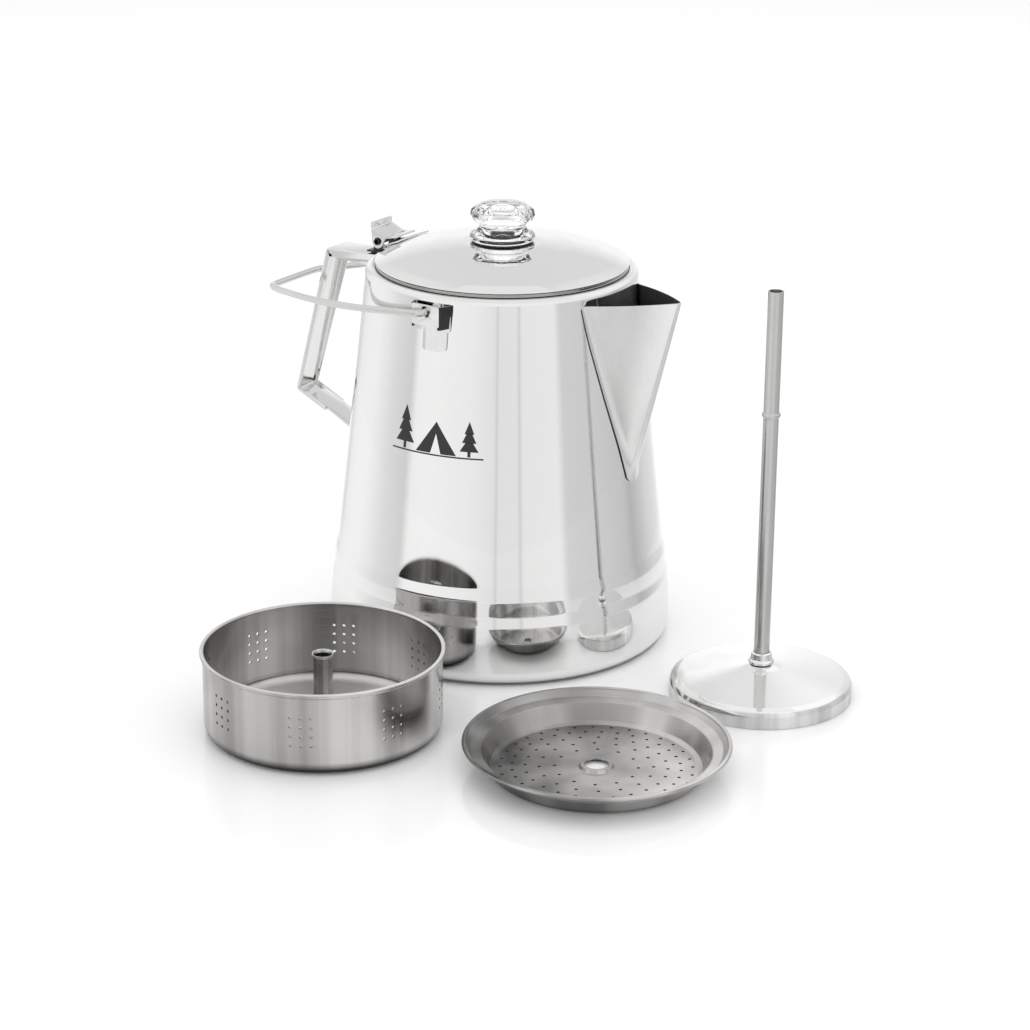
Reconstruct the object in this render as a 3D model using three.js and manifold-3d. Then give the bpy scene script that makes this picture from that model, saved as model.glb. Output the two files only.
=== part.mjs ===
// Camp coffee percolator: pot, lid, bail handle and the three loose brewing pieces set out beside it.
// Millimetres, +Z up, +X toward the spout. The origin is the middle of the pot's underside.

import * as THREE from 'three';
import { mergeVertices } from 'three/addons/utils/BufferGeometryUtils.js';
import Module from 'manifold-3d';

// ---- driving dimensions -------------------------------------------------------------------

const GAP = 0.3;                 // clearance left between neighbouring pieces
const SEG = 40;                  // facets around the large round pieces
const FACET = 360 / SEG;         // degrees per facet

// pot body
const WALL = 0.8;                // sheet thickness of the pot
const FLOOR = 1.0;               // thickness of the pot floor
const BASE_R = 105.8;            // widest radius, just above the bottom corner
const CORNER_R = 9.0;            // bottom corner radius
const STEP_LOW_Z = 40.5;         // height of the lower swaged step
const STEP_HIGH_Z = 57.0;        // height of the upper swaged step
const CONE_BOTTOM = [100.6, 60.2];
const CONE_TOP = [82.9, 225.0];
const RIM_R = 82.8;              // outside of the rounded shoulder
const RIM_ROLL = 4.5;            // radius of the rounded shoulder
const RIM_Z = 228.0;             // height of the shoulder's centre
const MOUTH_R = 76.0;            // clear radius of the mouth

// spout
const SPOUT_TOP_Z = 225.4;       // where the spout's upper edge leaves the pot
const SPOUT_TIP = [124.5, 228.0];
const SPOUT_FOOT = [97.0, 122.0];
const SPOUT_SHEET = 0.8;
const SPOUT_NOSE_LOW = 7.0;      // nose radius at the foot
const SPOUT_NOSE_HIGH = 3.4;     // nose radius at the lip
const SPOUT_OPEN_LOW = 50.0;     // half angle between the walls beside the nose at the foot, degrees
const SPOUT_OPEN_HIGH = 42.0;    // half angle between the walls beside the nose at the lip, degrees
const SPOUT_TURN = 20.0;         // how far each wall bends on its way to the pot, degrees
const SPOUT_WALL_LOW = 26.0;     // bend radius of the walls at the foot
const SPOUT_WALL_HIGH = 150.0;   // bend radius of the walls at the lip
const SPOUT_FLANGE = 4.6;        // width of the welded margin around the spout
const STRAINER_R = 2.6;          // radius of the strainer holes behind the spout

// lid and knob
const LID_R = 76.7;
const LID_Z = 232.9;             // underside of the lid's lip
const LID_LIP = 2.6;             // height of the lip
const LID_CROWN = 246.8;
const LID_SHEET = 0.7;
const LID_HOLE_R = 12.0;
const KNOB_TOP = 270.0;
const SEAL_R = 18.4;             // outer radius of the seal under the knob

// hinge and lever
const PIN = [-85.5, 235.6];      // hinge axis, parallel to Y
const PIN_R = 2.1;
const PIN_LEN = 22.0;
const LEVER_W = 20.0;
const CHEEK_T = 1.2;
const LEAF_W = 34.0;

// handle
const STRAP_W = 20.0;
const STRAP_T = 1.2;
const STRAP_PATH = [
  [-83.7, 227.0], [-112.5, 226.4], [-125.2, 226.0], [-127.9, 216.0], [-151.0, 128.9], [-128.4, 118.3]];
const STRAP_LIPS = [8.8, 4.8, 5.4, 7.0, 3.2, 3.0];   // flange height at each point of the path
const FOOT_W = 17.0;

// bail and its ears
const EAR_X = 6.0;
const EAR_PLATE_Y = 90.0;        // outer face of the ear plate
const EAR_W = 19.0;
const EAR_FLARE = 4.4;           // how far each side wall spreads on its way to the pot
const EAR_PLATE_Z = [216.4, 228.6];
const EAR_PAD = [1.5, 17.0];     // X range of the welded pad under the ear
const EAR_HOLE_Z = 224.6;
const EAR_HOLE_R = 3.3;
const WIRE_R = 2.1;
const WIRE_CLEAR = 1.9;          // side clearance between the wire and the ear plate
const BAIL_REACH = 163.6;        // from the pivot to the crossbar, along X
const BAIL_DROP = 25.0;          // how far the crossbar hangs below the pivot at rest
const BAIL_HALF = 27.0;          // half length of the crossbar
const BAIL_BOW = 10.0;           // outward bow of each arm at its middle

// loose brewing pieces
const BREW_SHEET = 0.8;

// filter basket
const BASKET_AT = [4.7, -191.3];
const BASKET_R = 70.3;
const BASKET_H = 49.9;
const BASKET_TUBE_R = 5.7;
const BASKET_TUBE_TOP = 46.0;

// spreader plate
const SPREADER_AT = [164.7, -151.1];
const SPREADER_R = 75.6;
const SPREADER_H = 17.4;
const SPREADER_HOLE_R = 6.9;

// pump stem
const STEM_AT = [189.6, -6.2];
const BELL_R = 54.1;
const BELL_H = 11.4;
const STEM_TUBE_R = 4.6;
const STEM_TOP = 247.3;
const STEM_BEAD_Z = 174.0;

// ---- materials ----------------------------------------------------------------------------

const steelMirror = new THREE.MeshStandardMaterial({ color: 0xd9dadb, roughness: 0.12, metalness: 1.0 });
const steelSatin = new THREE.MeshStandardMaterial({ color: 0xb4b5b6, roughness: 0.34, metalness: 1.0 });
const steelWire = new THREE.MeshStandardMaterial({ color: 0xc2c3c5, roughness: 0.25, metalness: 1.0 });
const steelSheet = new THREE.MeshStandardMaterial({ color: 0xc8c9cb, roughness: 0.28, metalness: 1.0 });
const clearGlass = new THREE.MeshStandardMaterial({ color: 0xe8eef0, roughness: 0.04, metalness: 0.0 });
const sealRubber = new THREE.MeshStandardMaterial({ color: 0x2a2a2c, roughness: 0.7, metalness: 0.0 });

// ---- geometry helpers ---------------------------------------------------------------------

const wasm = await Module();
wasm.setup();

/** Turn a closed three.js geometry into a Manifold solid that faces outward. */
function solid(geometry) {
  const bare = new THREE.BufferGeometry();
  bare.setAttribute('position', geometry.getAttribute('position').clone());
  if (geometry.index) bare.setIndex(geometry.index.clone());
  const welded = mergeVertices(bare, 1e-4);
  const at = welded.getAttribute('position');
  const tris = [];
  let volume = 0;
  const a = new THREE.Vector3();
  const b = new THREE.Vector3();
  const c = new THREE.Vector3();
  for (let i = 0; i < welded.index.count; i += 3) {
    const [p, q, r] = [0, 1, 2].map((k) => welded.index.getX(i + k));
    if (p === q || q === r || r === p) continue;
    tris.push(p, q, r);
    a.fromBufferAttribute(at, p);
    b.fromBufferAttribute(at, q);
    c.fromBufferAttribute(at, r);
    volume += a.dot(b.cross(c));
  }
  if (volume < 0) {
    for (let i = 0; i < tris.length; i += 3) {
      [tris[i], tris[i + 1]] = [tris[i + 1], tris[i]];
    }
  }
  return new wasm.Manifold(new wasm.Mesh({
    numProp: 3,
    vertProperties: new Float32Array(at.array),
    triVerts: new Uint32Array(tris),
  }));
}

/** Wrap a Manifold solid as a named mesh. */
function piece(name, body, material) {
  const mesh = body.getMesh();
  const geometry = new THREE.BufferGeometry();
  geometry.setAttribute('position', new THREE.BufferAttribute(new Float32Array(mesh.vertProperties), 3));
  geometry.setIndex(new THREE.BufferAttribute(new Uint32Array(mesh.triVerts), 1));
  geometry.computeVertexNormals();
  const result = new THREE.Mesh(geometry, material);
  result.name = name;
  return result;
}

/** Exact quarter turn that takes +Y to +Z. */
const STAND_UP = new THREE.Matrix4().set(1, 0, 0, 0, 0, 0, -1, 0, 0, 1, 0, 0, 0, 0, 0, 1);

/** Solid of revolution about Z from [radius, z] points. */
function turned(points, segments = SEG) {
  const profile = points.map(([r, z]) => new THREE.Vector2(r, z));
  const geometry = new THREE.LatheGeometry(profile, segments);
  geometry.applyMatrix4(STAND_UP);
  return solid(geometry);
}

/** Prism of a polygon given in X and Z, between two Y values. */
function prismXZ(points, y0, y1) {
  const shape = new THREE.Shape(points.map(([x, z]) => new THREE.Vector2(x, z)));
  const geometry = new THREE.ExtrudeGeometry(shape, { depth: y1 - y0, bevelEnabled: false });
  geometry.applyMatrix4(STAND_UP);
  geometry.translate(0, y1, 0);
  return solid(geometry);
}

/** Prism of a polygon given in X and Y, between two heights. */
function prismXY(points, z0, z1) {
  const shape = new THREE.Shape(points.map(([x, y]) => new THREE.Vector2(x, y)));
  const geometry = new THREE.ExtrudeGeometry(shape, { depth: z1 - z0, bevelEnabled: false });
  geometry.translate(0, 0, z0);
  return solid(geometry);
}

/** Box from its low and high corners. */
function box(low, high) {
  const size = high.map((v, i) => v - low[i]);
  const geometry = new THREE.BoxGeometry(...size);
  geometry.translate(...low.map((v, i) => v + size[i] / 2));
  return solid(geometry);
}

/** Rod between two points. */
function rod(from, to, radius, sides) {
  const start = new THREE.Vector3(...from);
  const end = new THREE.Vector3(...to);
  const along = end.clone().sub(start);
  const geometry = new THREE.CylinderGeometry(radius, radius, along.length(), sides);
  const turn = new THREE.Quaternion().setFromUnitVectors(new THREE.Vector3(0, 1, 0), along.clone().normalize());
  geometry.applyQuaternion(turn);
  geometry.translate(...start.add(end).multiplyScalar(0.5).toArray());
  return solid(geometry);
}

/** Solid skinned over rings that all have the same number of [x, y, z] points. */
function loft(rings) {
  const count = rings[0].length;
  const index = [];
  for (let k = 0; k + 1 < rings.length; k += 1) {
    for (let i = 0; i < count; i += 1) {
      const a = k * count + i;
      const b = k * count + ((i + 1) % count);
      index.push(a, b, a + count, b, b + count, a + count);
    }
  }
  const flat = rings[0].map(([x, y]) => new THREE.Vector2(x, y));
  const top = (rings.length - 1) * count;
  for (const [a, b, c] of THREE.ShapeUtils.triangulateShape(flat, [])) {
    index.push(a, c, b);
    index.push(top + a, top + b, top + c);
  }
  const geometry = new THREE.BufferGeometry();
  geometry.setAttribute('position', new THREE.Float32BufferAttribute(rings.flat(2), 3));
  geometry.setIndex(index);
  return solid(geometry);
}

/** Points on an arc, angles in degrees. */
function arc([cx, cy], radius, from, to, steps) {
  const points = [];
  for (let i = 0; i <= steps; i += 1) {
    const t = THREE.MathUtils.degToRad(from + ((to - from) * i) / steps);
    points.push([cx + radius * Math.cos(t), cy + radius * Math.sin(t)]);
  }
  return points;
}

/** Join several solids. */
function join(...bodies) {
  return bodies.reduce((sum, body) => sum.add(body));
}

/** Group with its own origin, so its children are drawn about that point. */
function groupAt(name, x, y, z, ...children) {
  const group = new THREE.Group();
  group.name = name;
  group.position.set(x, y, z);
  group.add(...children);
  return group;
}

// ---- pot body -----------------------------------------------------------------------------

/** Outside radius of the pot's cone at height z. */
function coneRadius(z) {
  const t = (z - CONE_BOTTOM[1]) / (CONE_TOP[1] - CONE_BOTTOM[1]);
  return CONE_BOTTOM[0] + (CONE_TOP[0] - CONE_BOTTOM[0]) * t;
}

/** Outline of the pot from the floor to the shoulder, pulled in by the given amount. */
function potSide(inset) {
  const corner = [BASE_R - CORNER_R, CORNER_R];
  return [
    ...arc(corner, CORNER_R - inset, -90, 0, 3),
    [105.2 - inset, 27],
    [104.3 - inset, STEP_LOW_Z - 2.7],
    [102.9 - inset, STEP_LOW_Z + 2.7],
    [102.4 - inset, STEP_HIGH_Z - 3],
    [CONE_BOTTOM[0] - inset, CONE_BOTTOM[1]],
    [CONE_TOP[0] - inset, CONE_TOP[1]],
  ];
}

const rimCentre = [RIM_R - RIM_ROLL, RIM_Z];

const potProfile = [
  [0, 0],
  ...potSide(0),
  ...arc(rimCentre, RIM_ROLL, 0, 90, 3),
  [MOUTH_R + 0.7, RIM_Z + RIM_ROLL - 0.5],
  [MOUTH_R, RIM_Z + RIM_ROLL - 1.5],
  [MOUTH_R, RIM_Z + 0.5],
  [MOUTH_R + WALL, RIM_Z + 0.5],
  [MOUTH_R + WALL, RIM_Z + RIM_ROLL - 1.9],
  ...arc(rimCentre, RIM_ROLL - WALL, 90, 0, 3),
  ...potSide(WALL).reverse().slice(0, -1),
  [BASE_R - CORNER_R, FLOOR],
  [0, FLOOR],
];

/** Strainer holes in the wall behind the spout, as [angle in degrees, height]. */
function strainerSpots() {
  const rows = [[148, 2], [164, 2], [180, 2], [196, 4], [211, 4]];
  return rows.flatMap(([z, n]) => {
    const first = -((n - 1) * FACET) / 2;
    return Array.from({ length: n }, (_, i) => [first + i * FACET, z]);
  });
}

function makePotBody() {
  const drills = strainerSpots().map(([angle, z]) => {
    const t = THREE.MathUtils.degToRad(angle);
    const [c, s] = [Math.cos(t), Math.sin(t)];
    const [near, far] = [coneRadius(z) - 8, coneRadius(z) + 8];
    return rod([near * c, near * s, z], [far * c, far * s, z], STRAINER_R, 6);
  });
  return turned(potProfile).subtract(join(...drills));
}

/** Full-height plug the size of the pot's outside plus a margin, for trimming welded pieces. */
function potPlug(margin) {
  const side = potSide(0).map(([r, z]) => [r + margin, z]);
  return turned([[0, -5], [side[0][0], -5], ...side, [RIM_R + margin, RIM_Z], [RIM_R + margin, 240], [0, 240]]);
}

// ---- spout --------------------------------------------------------------------------------

/** Horizontal section of the spout: a rounded nose with two gently bowed walls, grown by an offset. */
function spoutRing(t, offset) {
  const z = SPOUT_FOOT[1] + (SPOUT_TOP_Z - SPOUT_FOOT[1]) * t;
  const nose = SPOUT_FOOT[0] + (SPOUT_TIP[0] - SPOUT_FOOT[0]) * t;
  const roll = SPOUT_NOSE_LOW + (SPOUT_NOSE_HIGH - SPOUT_NOSE_LOW) * t;
  const open = SPOUT_OPEN_LOW + (SPOUT_OPEN_HIGH - SPOUT_OPEN_LOW) * t;
  const bow = SPOUT_WALL_LOW + (SPOUT_WALL_HIGH - SPOUT_WALL_LOW) * t;
  const facing = 90 - open;
  const side = THREE.MathUtils.degToRad(facing);
  const centre = [nose - roll, 0];
  const wallCentre = [centre[0] + (roll - bow) * Math.cos(side), (roll - bow) * Math.sin(side)];
  const wall = arc(wallCentre, bow + offset, facing, facing + SPOUT_TURN, 4).slice(1);
  const [wx, wy] = wall[wall.length - 1];
  const back = 60;
  wall.push([back, wy + (wx - back) * Math.tan(THREE.MathUtils.degToRad(open - SPOUT_TURN))]);
  const tip = arc(centre, roll + offset, -facing, facing, 6);
  return [...wall.map(([x, y]) => [x, -y]).reverse(), ...tip, ...wall].map(([x, y]) => {
    const lift = ((x - 77) * (SPOUT_TIP[1] - SPOUT_TOP_Z)) / (SPOUT_TIP[0] - 77);
    return [x, y, z + Math.max(lift, 0) * t];
  });
}

function spoutLoft(offset, extra) {
  const rings = [];
  const steps = 6;
  for (let i = 0; i <= steps; i += 1) rings.push(spoutRing(i / steps, offset));
  if (extra) {
    rings.push(rings[steps].map(([x, y, z]) => [x, y, z + extra]));
  }
  return loft(rings);
}

function makeSpout() {
  const wall = spoutLoft(0, 0).subtract(spoutLoft(-SPOUT_SHEET, 6));
  const foot = coneRadius(SPOUT_FOOT[1]);
  const lowerHalf = SPOUT_FLANGE + 3;
  const flangeLine = [
    [SPOUT_FOOT[1] - 9, 0],
    [SPOUT_FOOT[1] - 7.5, lowerHalf * 0.6],
    [SPOUT_FOOT[1] - 3, lowerHalf],
    [SPOUT_FOOT[1] + 14, lowerHalf + 4.4],
    [SPOUT_FOOT[1] + 46, 21.5],
    [SPOUT_TOP_Z - 26, 29.0],
    [SPOUT_TOP_Z - 0.4, 33.0],
  ];
  const outline = [...flangeLine, ...flangeLine.slice(1).reverse().map(([z, y]) => [z, -y])];
  const shape = new THREE.Shape(outline.map(([z, y]) => new THREE.Vector2(z, y)));
  const stencil = new THREE.ExtrudeGeometry(shape, { depth: foot, bevelEnabled: false });
  stencil.applyMatrix4(new THREE.Matrix4().set(0, 0, 1, 20, 0, 1, 0, 0, 1, 0, 0, 0, 0, 0, 0, 1));
  const skin = potPlug(GAP + SPOUT_SHEET).subtract(potPlug(GAP));
  const flange = skin.intersect(solid(stencil)).subtract(spoutLoft(-SPOUT_SHEET, 6));
  return wall.subtract(potPlug(GAP)).add(flange);
}

// ---- handle -------------------------------------------------------------------------------

/** Offset a polyline sideways by a per-point amount, mitred at the bends. */
function offsetPath(path, amounts) {
  return path.map((point, i) => {
    const before = new THREE.Vector2(...path[Math.max(i - 1, 0)]);
    const here = new THREE.Vector2(...point);
    const after = new THREE.Vector2(...path[Math.min(i + 1, path.length - 1)]);
    const into = (i ? here.clone().sub(before) : after.clone().sub(here)).normalize();
    const out = (i < path.length - 1 ? after.clone().sub(here) : here.clone().sub(before)).normalize();
    const mean = new THREE.Vector2(-into.y - out.y, into.x + out.x).normalize();
    const stretch = 1 / mean.dot(new THREE.Vector2(-into.y, into.x));
    return here.add(mean.multiplyScalar(amounts[i] * stretch)).toArray();
  });
}

/** Band of the given thicknesses on the left-hand side of a path. */
function ribbon(path, thickness, y0, y1) {
  const inner = offsetPath(path, path.map((_, i) => (Array.isArray(thickness) ? thickness[i] : thickness)));
  return prismXZ([...path, ...inner.reverse()], y0, y1);
}

/** Round each inner bend of a path with a short arc-like pair of points. */
function softened(path, values, cut) {
  const points = [];
  const amounts = [];
  path.forEach((point, i) => {
    if (i === 0 || i === path.length - 1) {
      points.push(point);
      amounts.push(values[i]);
      return;
    }
    const here = new THREE.Vector2(...point);
    for (const j of [i - 1, i + 1]) {
      const toward = new THREE.Vector2(...path[j]).sub(here).normalize();
      points.push(here.clone().add(toward.multiplyScalar(cut)).toArray());
      amounts.push(values[i]);
    }
  });
  return [points, amounts];
}

function makeHandleStrap() {
  const [path, lips] = softened(STRAP_PATH, STRAP_LIPS, 2.2);
  const half = STRAP_W / 2;
  return join(
    ribbon(path, STRAP_T, -half, half),
    ribbon(path, lips, -half, -half + STRAP_T),
    ribbon(path, lips, half - STRAP_T, half),
  );
}

/** Strip that ties the lower end of the strap to the pot, with a pad on the pot's side. */
function makeHandleFoot() {
  const lift = STRAP_T + GAP;
  const lap = offsetPath([[-141, 124.6], [-127, 118]], [lift, lift]);
  const arrive = [-(coneRadius(104) + 1.5), 104.5];
  const strip = ribbon([lap[0], lap[1], arrive], STRAP_T, -FOOT_W / 2, FOOT_W / 2);
  const pad = potPlug(GAP + STRAP_T).subtract(potPlug(GAP))
    .intersect(box([-120, -FOOT_W / 2, 84], [-80, FOOT_W / 2, 106]));
  return strip.add(pad).subtract(potPlug(GAP));
}

// ---- hinge --------------------------------------------------------------------------------

function makeHingeBracket() {
  const [px, pz] = PIN;
  const ear = [
    [px - 4.2, 228.0],
    [px - 3.4, pz],
    ...arc(PIN, 3.4, 150, 30, 4),
    [px + 3.4, pz],
    [px + 1.9, 229.5],
    [px + 1.6, 228.0],
  ];
  const half = LEVER_W / 2 - CHEEK_T - GAP;
  const plate = prismXZ([[px - 9, 227.9], [px - 9, 228.9], [px + 1.7, 228.9], [px + 1.7, 227.5]], -half, half);
  const lugs = join(
    prismXZ(ear, -half, -half + CHEEK_T),
    prismXZ(ear, half - CHEEK_T, half),
    plate,
  );
  return lugs
    .subtract(rod([px, -20, pz], [px, 20, pz], PIN_R + GAP, 12))
    .subtract(potPlug(GAP));
}

function makeHingePin() {
  const tube = rod([0, -PIN_LEN / 2, 0], [0, PIN_LEN / 2, 0], PIN_R, 12);
  return tube.subtract(rod([0, -PIN_LEN, 0], [0, PIN_LEN, 0], PIN_R * 0.62, 12));
}

/** Thumb lever: sloping plate, upturned thumb tab and two cheeks around the pin. */
function makeLever() {
  const half = LEVER_W / 2;
  const plate = [[-4.9, 8.6], [-4.4, 7.2], [6.3, 2.7], [14.6, 4.4], [14.6, 5.6], [6.6, 4.0], [-3.2, 8.2]];
  const cheek = [
    [-4.5, 7.4],
    ...arc([0, 0], 4.2, 165, 345, 7),
    [5.6, 1.6],
    [6.3, 2.9],
  ];
  const tab = [[-4.9, 8.6], [-3.2, 8.2], [-2.8, 11.4], [-4.6, 11.8]];
  return join(
    prismXZ(plate, -half, half),
    prismXZ(tab, -half, half),
    prismXZ(cheek, -half, -half + CHEEK_T),
    prismXZ(cheek, half - CHEEK_T, half),
  ).subtract(rod([0, -20, 0], [0, 20, 0], PIN_R + GAP, 12));
}

// ---- lid and knob -------------------------------------------------------------------------

const lidTop = [
  [LID_R, LID_Z],
  [LID_R, LID_Z + LID_LIP - 0.7],
  [LID_R - 0.8, LID_Z + LID_LIP],
  [70.0, 238.1],
  [58.0, 241.9],
  [42.0, 245.0],
  [24.0, LID_CROWN],
  [LID_HOLE_R, LID_CROWN],
];

/** Height of the lid's upper surface at a radius. */
function lidHeight(radius) {
  for (let i = 0; i + 1 < lidTop.length; i += 1) {
    const [r1, z1] = lidTop[i];
    const [r0, z0] = lidTop[i + 1];
    if (r1 !== r0 && radius <= r1 && radius >= r0) return z0 + ((z1 - z0) * (radius - r0)) / (r1 - r0);
  }
  return LID_CROWN;
}

function makeLid() {
  const under = lidTop.slice(2).map(([r, z]) => [Math.max(r - 0.3, LID_HOLE_R), z - LID_SHEET]);
  return turned([
    ...lidTop,
    ...under.reverse(),
    [LID_R - LID_SHEET, LID_Z + LID_LIP - 1.1],
    [LID_R - LID_SHEET, LID_Z],
    lidTop[0],
  ]);
}

/** Curved leaf lying on the lid under the lever. */
function makeLeaf() {
  const rows = [60, 64, 69.4, 70.0, 74.5];
  const low = rows.map((r) => [r, lidHeight(r) + GAP]);
  const high = rows.map((r) => [r, lidHeight(r) + GAP + 1.0]);
  const skin = turned([...low, ...high.reverse(), low[0]], SEG);
  return skin.intersect(box([-75, -LEAF_W / 2, 230], [-65, LEAF_W / 2, 250]));
}

function makeKnob() {
  const outside = [
    [8.6, 240.6],
    [LID_HOLE_R - GAP, 240.6],
    [LID_HOLE_R - GAP, LID_CROWN + 1.5],
    [19.6, LID_CROWN + 1.5],
    [19.9, 251.6],
    [15.2, 253.6],
    [13.9, 256.2],
    [14.4, 258.8],
    [17.8, 260.0],
    [19.4, 263.2],
    [18.9, 266.2],
    [14.6, 269.4],
    [11.0, KNOB_TOP],
    [0, KNOB_TOP],
    [0, 262.0],
    [6.2, 261.0],
    [8.6, 257.0],
    [8.6, 240.6],
  ];
  return turned(outside.slice(0, -1).concat([outside[0]]), 20);
}

/** Seal pressed between the knob and the lid. */
function makeKnobSeal() {
  const [low, high] = [LID_CROWN + GAP, LID_CROWN + 1.5 - GAP];
  return turned([[12.4, low], [SEAL_R, low], [SEAL_R, high], [12.4, high], [12.4, low]], 24);
}

// ---- bail ---------------------------------------------------------------------------------

/** Bent sheet ear standing off the pot, with the hole for the bail wire; side is -1 or 1. */
function makeEar(side) {
  const low = EAR_X - EAR_W / 2;
  const high = EAR_X + EAR_W / 2;
  const [plateLow, plateHigh] = EAR_PLATE_Z;
  const span = (y0, y1) => (side < 0 ? [-y1, -y0] : [y0, y1]);
  const slab = (x0, x1, [y0, y1], z0, z1) => box([x0, y0, z0], [x1, y1, z1]);
  const face = slab(low, high, span(EAR_PLATE_Y - 1.2, EAR_PLATE_Y), plateLow, plateHigh);
  const outer = EAR_PLATE_Y - 0.4;
  const walls = [[low, -1], [high, 1]].map(([x, out]) => prismXY([
    [x, side * outer],
    [x - out * 1.2, side * outer],
    [x + out * (EAR_FLARE - 1.4), side * 79],
    [x + out * EAR_FLARE, side * 79],
  ], plateLow - 1.6, plateHigh - 0.2));
  const skin = potPlug(GAP + 1.2).subtract(potPlug(GAP));
  const band = slab(low - EAR_FLARE + 1, high + EAR_FLARE - 1, span(60, 100), 212, 222);
  const tongue = slab(...EAR_PAD, span(60, 100), 200.5, 213);
  const [y0, y1] = span(84, 105);
  return join(face, ...walls, skin.intersect(band.add(tongue)))
    .subtract(potPlug(GAP))
    .subtract(rod([EAR_X, y0, EAR_HOLE_Z], [EAR_X, y1, EAR_HOLE_Z], EAR_HOLE_R, 12));
}

/** One bent wire: hook, arm, crossbar, arm, hook, drawn about the pivot axis. */
function makeBail() {
  const out = EAR_PLATE_Y + WIRE_R + WIRE_CLEAR;
  const half = [[0, -out + 7.6, 0], [0, -out + 2.6, 0], [-0.7, -out + 0.7, -0.1], [-3.0, -out, -0.5]];
  const steps = 10;
  for (let i = 1; i <= steps; i += 1) {
    const t = i / (steps + 0.6);
    const y = -out + (out - BAIL_HALF) * t - BAIL_BOW * Math.sin(Math.PI * t);
    half.push([-3 - (BAIL_REACH - 6) * t, y, -0.5 - (BAIL_DROP - 0.5) * t]);
  }
  half.push([-BAIL_REACH + 3.2, -BAIL_HALF + 0.6, -BAIL_DROP + 0.5]);
  half.push([-BAIL_REACH + 0.6, -BAIL_HALF + 4.4, -BAIL_DROP + 0.1]);
  half.push([-BAIL_REACH, -BAIL_HALF + 8.5, -BAIL_DROP]);
  const mirrored = half.map(([x, y, z]) => [x, -y, z]).reverse();
  const points = [...half, ...mirrored].map((p) => new THREE.Vector3(...p));
  const path = new THREE.CatmullRomCurve3(points, false, 'centripetal');
  const section = new THREE.Shape(arc([0, 0], WIRE_R, 0, 308.6, 6).map(([x, y]) => new THREE.Vector2(x, y)));
  return solid(new THREE.ExtrudeGeometry(section, { steps: 60, bevelEnabled: false, extrudePath: path }));
}

// ---- loose brewing pieces -----------------------------------------------------------------

/** Filter basket drawn about its own centre, standing on its floor. */
function makeBasket() {
  const t = BREW_SHEET;
  const profile = [
    [BASKET_TUBE_R + GAP, 0],
    [61.5, 0],
    ...arc([61.5, 7.2], 7.2, -60, 0, 2),
    [68.7, BASKET_H - 3.2],
    ...arc([BASKET_R - 1.3, BASKET_H - 1.3], 1.3, -40, 180, 5),
    [68.7 - t, BASKET_H - 3.0],
    ...arc([61.5, 7.2], 7.2 - t, 0, -60, 2),
    [61.5, t],
    [BASKET_TUBE_R + GAP, t],
    [BASKET_TUBE_R + GAP, 0],
  ];
  const drills = [];
  for (let group = 0; group < 8; group += 1) {
    for (let column = -1; column <= 1; column += 1) {
      const angle = THREE.MathUtils.degToRad(26.25 + group * 45 + column * 4.9);
      const [c, s] = [Math.cos(angle), Math.sin(angle)];
      for (let row = 0; row < 4; row += 1) {
        const z = 18.5 + row * 5.6;
        drills.push(rod([66 * c, 66 * s, z], [72 * c, 72 * s, z], 0.95, 4));
      }
    }
  }
  return turned(profile, 48).subtract(join(...drills));
}

/** Centre tube of the basket with a flared mouth and a swaged foot. */
function makeBasketTube() {
  const r = BASKET_TUBE_R;
  const bore = r - 0.7;
  const top = BASKET_TUBE_TOP;
  return turned([
    [bore, -0.0],
    [r, -0.0],
    [r, BREW_SHEET + GAP],
    [r + 1.0, BREW_SHEET + GAP],
    [r + 1.0, 2.2],
    [r, 2.8],
    [r, top - 2.0],
    [6.4, top - 0.3],
    [6.2, top],
    [bore + 0.5, top - 0.4],
    [bore, top - 1.8],
    [bore, -0.0],
  ], 20);
}

/** Perforations of the spreader as [radius, count, phase in degrees]. */
const SPREADER_ROWS = [
  [54.0, 32, 0],
  [47.5, 32, 5.6],
  [40.0, 24, 0],
  [32.0, 16, 11.2],
  [23.5, 12, 0],
];

/** Dished, perforated spreader plate drawn about its own centre. */
function makeSpreader() {
  const t = BREW_SHEET;
  const lower = [
    [SPREADER_HOLE_R, 1.9],
    [8.4, 1.9],
    [9.4, 0.0],
    [57.5, 0.0],
    [60.5, 1.6],
    [65.6, 11.2],
    [71.2, 12.2],
    [73.4, 15.4],
  ];
  const upper = [
    [SPREADER_HOLE_R, 1.9 + t],
    [8.9, 1.9 + t],
    [10.2, t],
    [57.0, t],
    [59.4, 2.2],
    [64.8, 12.1],
    [70.6, 13.1],
    [72.6, 15.9],
  ];
  const edge = arc([SPREADER_R - 1.3, SPREADER_H - 1.3], 1.3, -30, 170, 4);
  const drills = SPREADER_ROWS.flatMap(([radius, count, phase]) => Array.from({ length: count }, (_, i) => {
    const angle = THREE.MathUtils.degToRad(phase + (i * 360) / count);
    const [x, y] = [radius * Math.cos(angle), radius * Math.sin(angle)];
    return rod([x, y, -2], [x, y, 4], 1.0, 4);
  }));
  return turned([...lower, ...edge, ...upper.reverse(), lower[0]]).subtract(join(...drills));
}

/** Shallow bell that stands over the heat at the foot of the pump stem. */
function makeBell() {
  return turned([
    [STEM_TUBE_R + GAP, 20.2],
    [12.0, 18.0],
    [BELL_R - 4.5, BELL_H + 0.2],
    [BELL_R - 1.2, BELL_H - 1.2],
    [BELL_R, BELL_H - 4.0],
    [BELL_R, 0],
    [BELL_R - 1.0, 0],
    [BELL_R - 1.0, BELL_H - 4.2],
    [BELL_R - 5.0, BELL_H - 0.8],
    [12.0, 17.0],
    [STEM_TUBE_R + GAP, 19.2],
    [STEM_TUBE_R + GAP, 20.2],
  ]);
}

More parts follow.
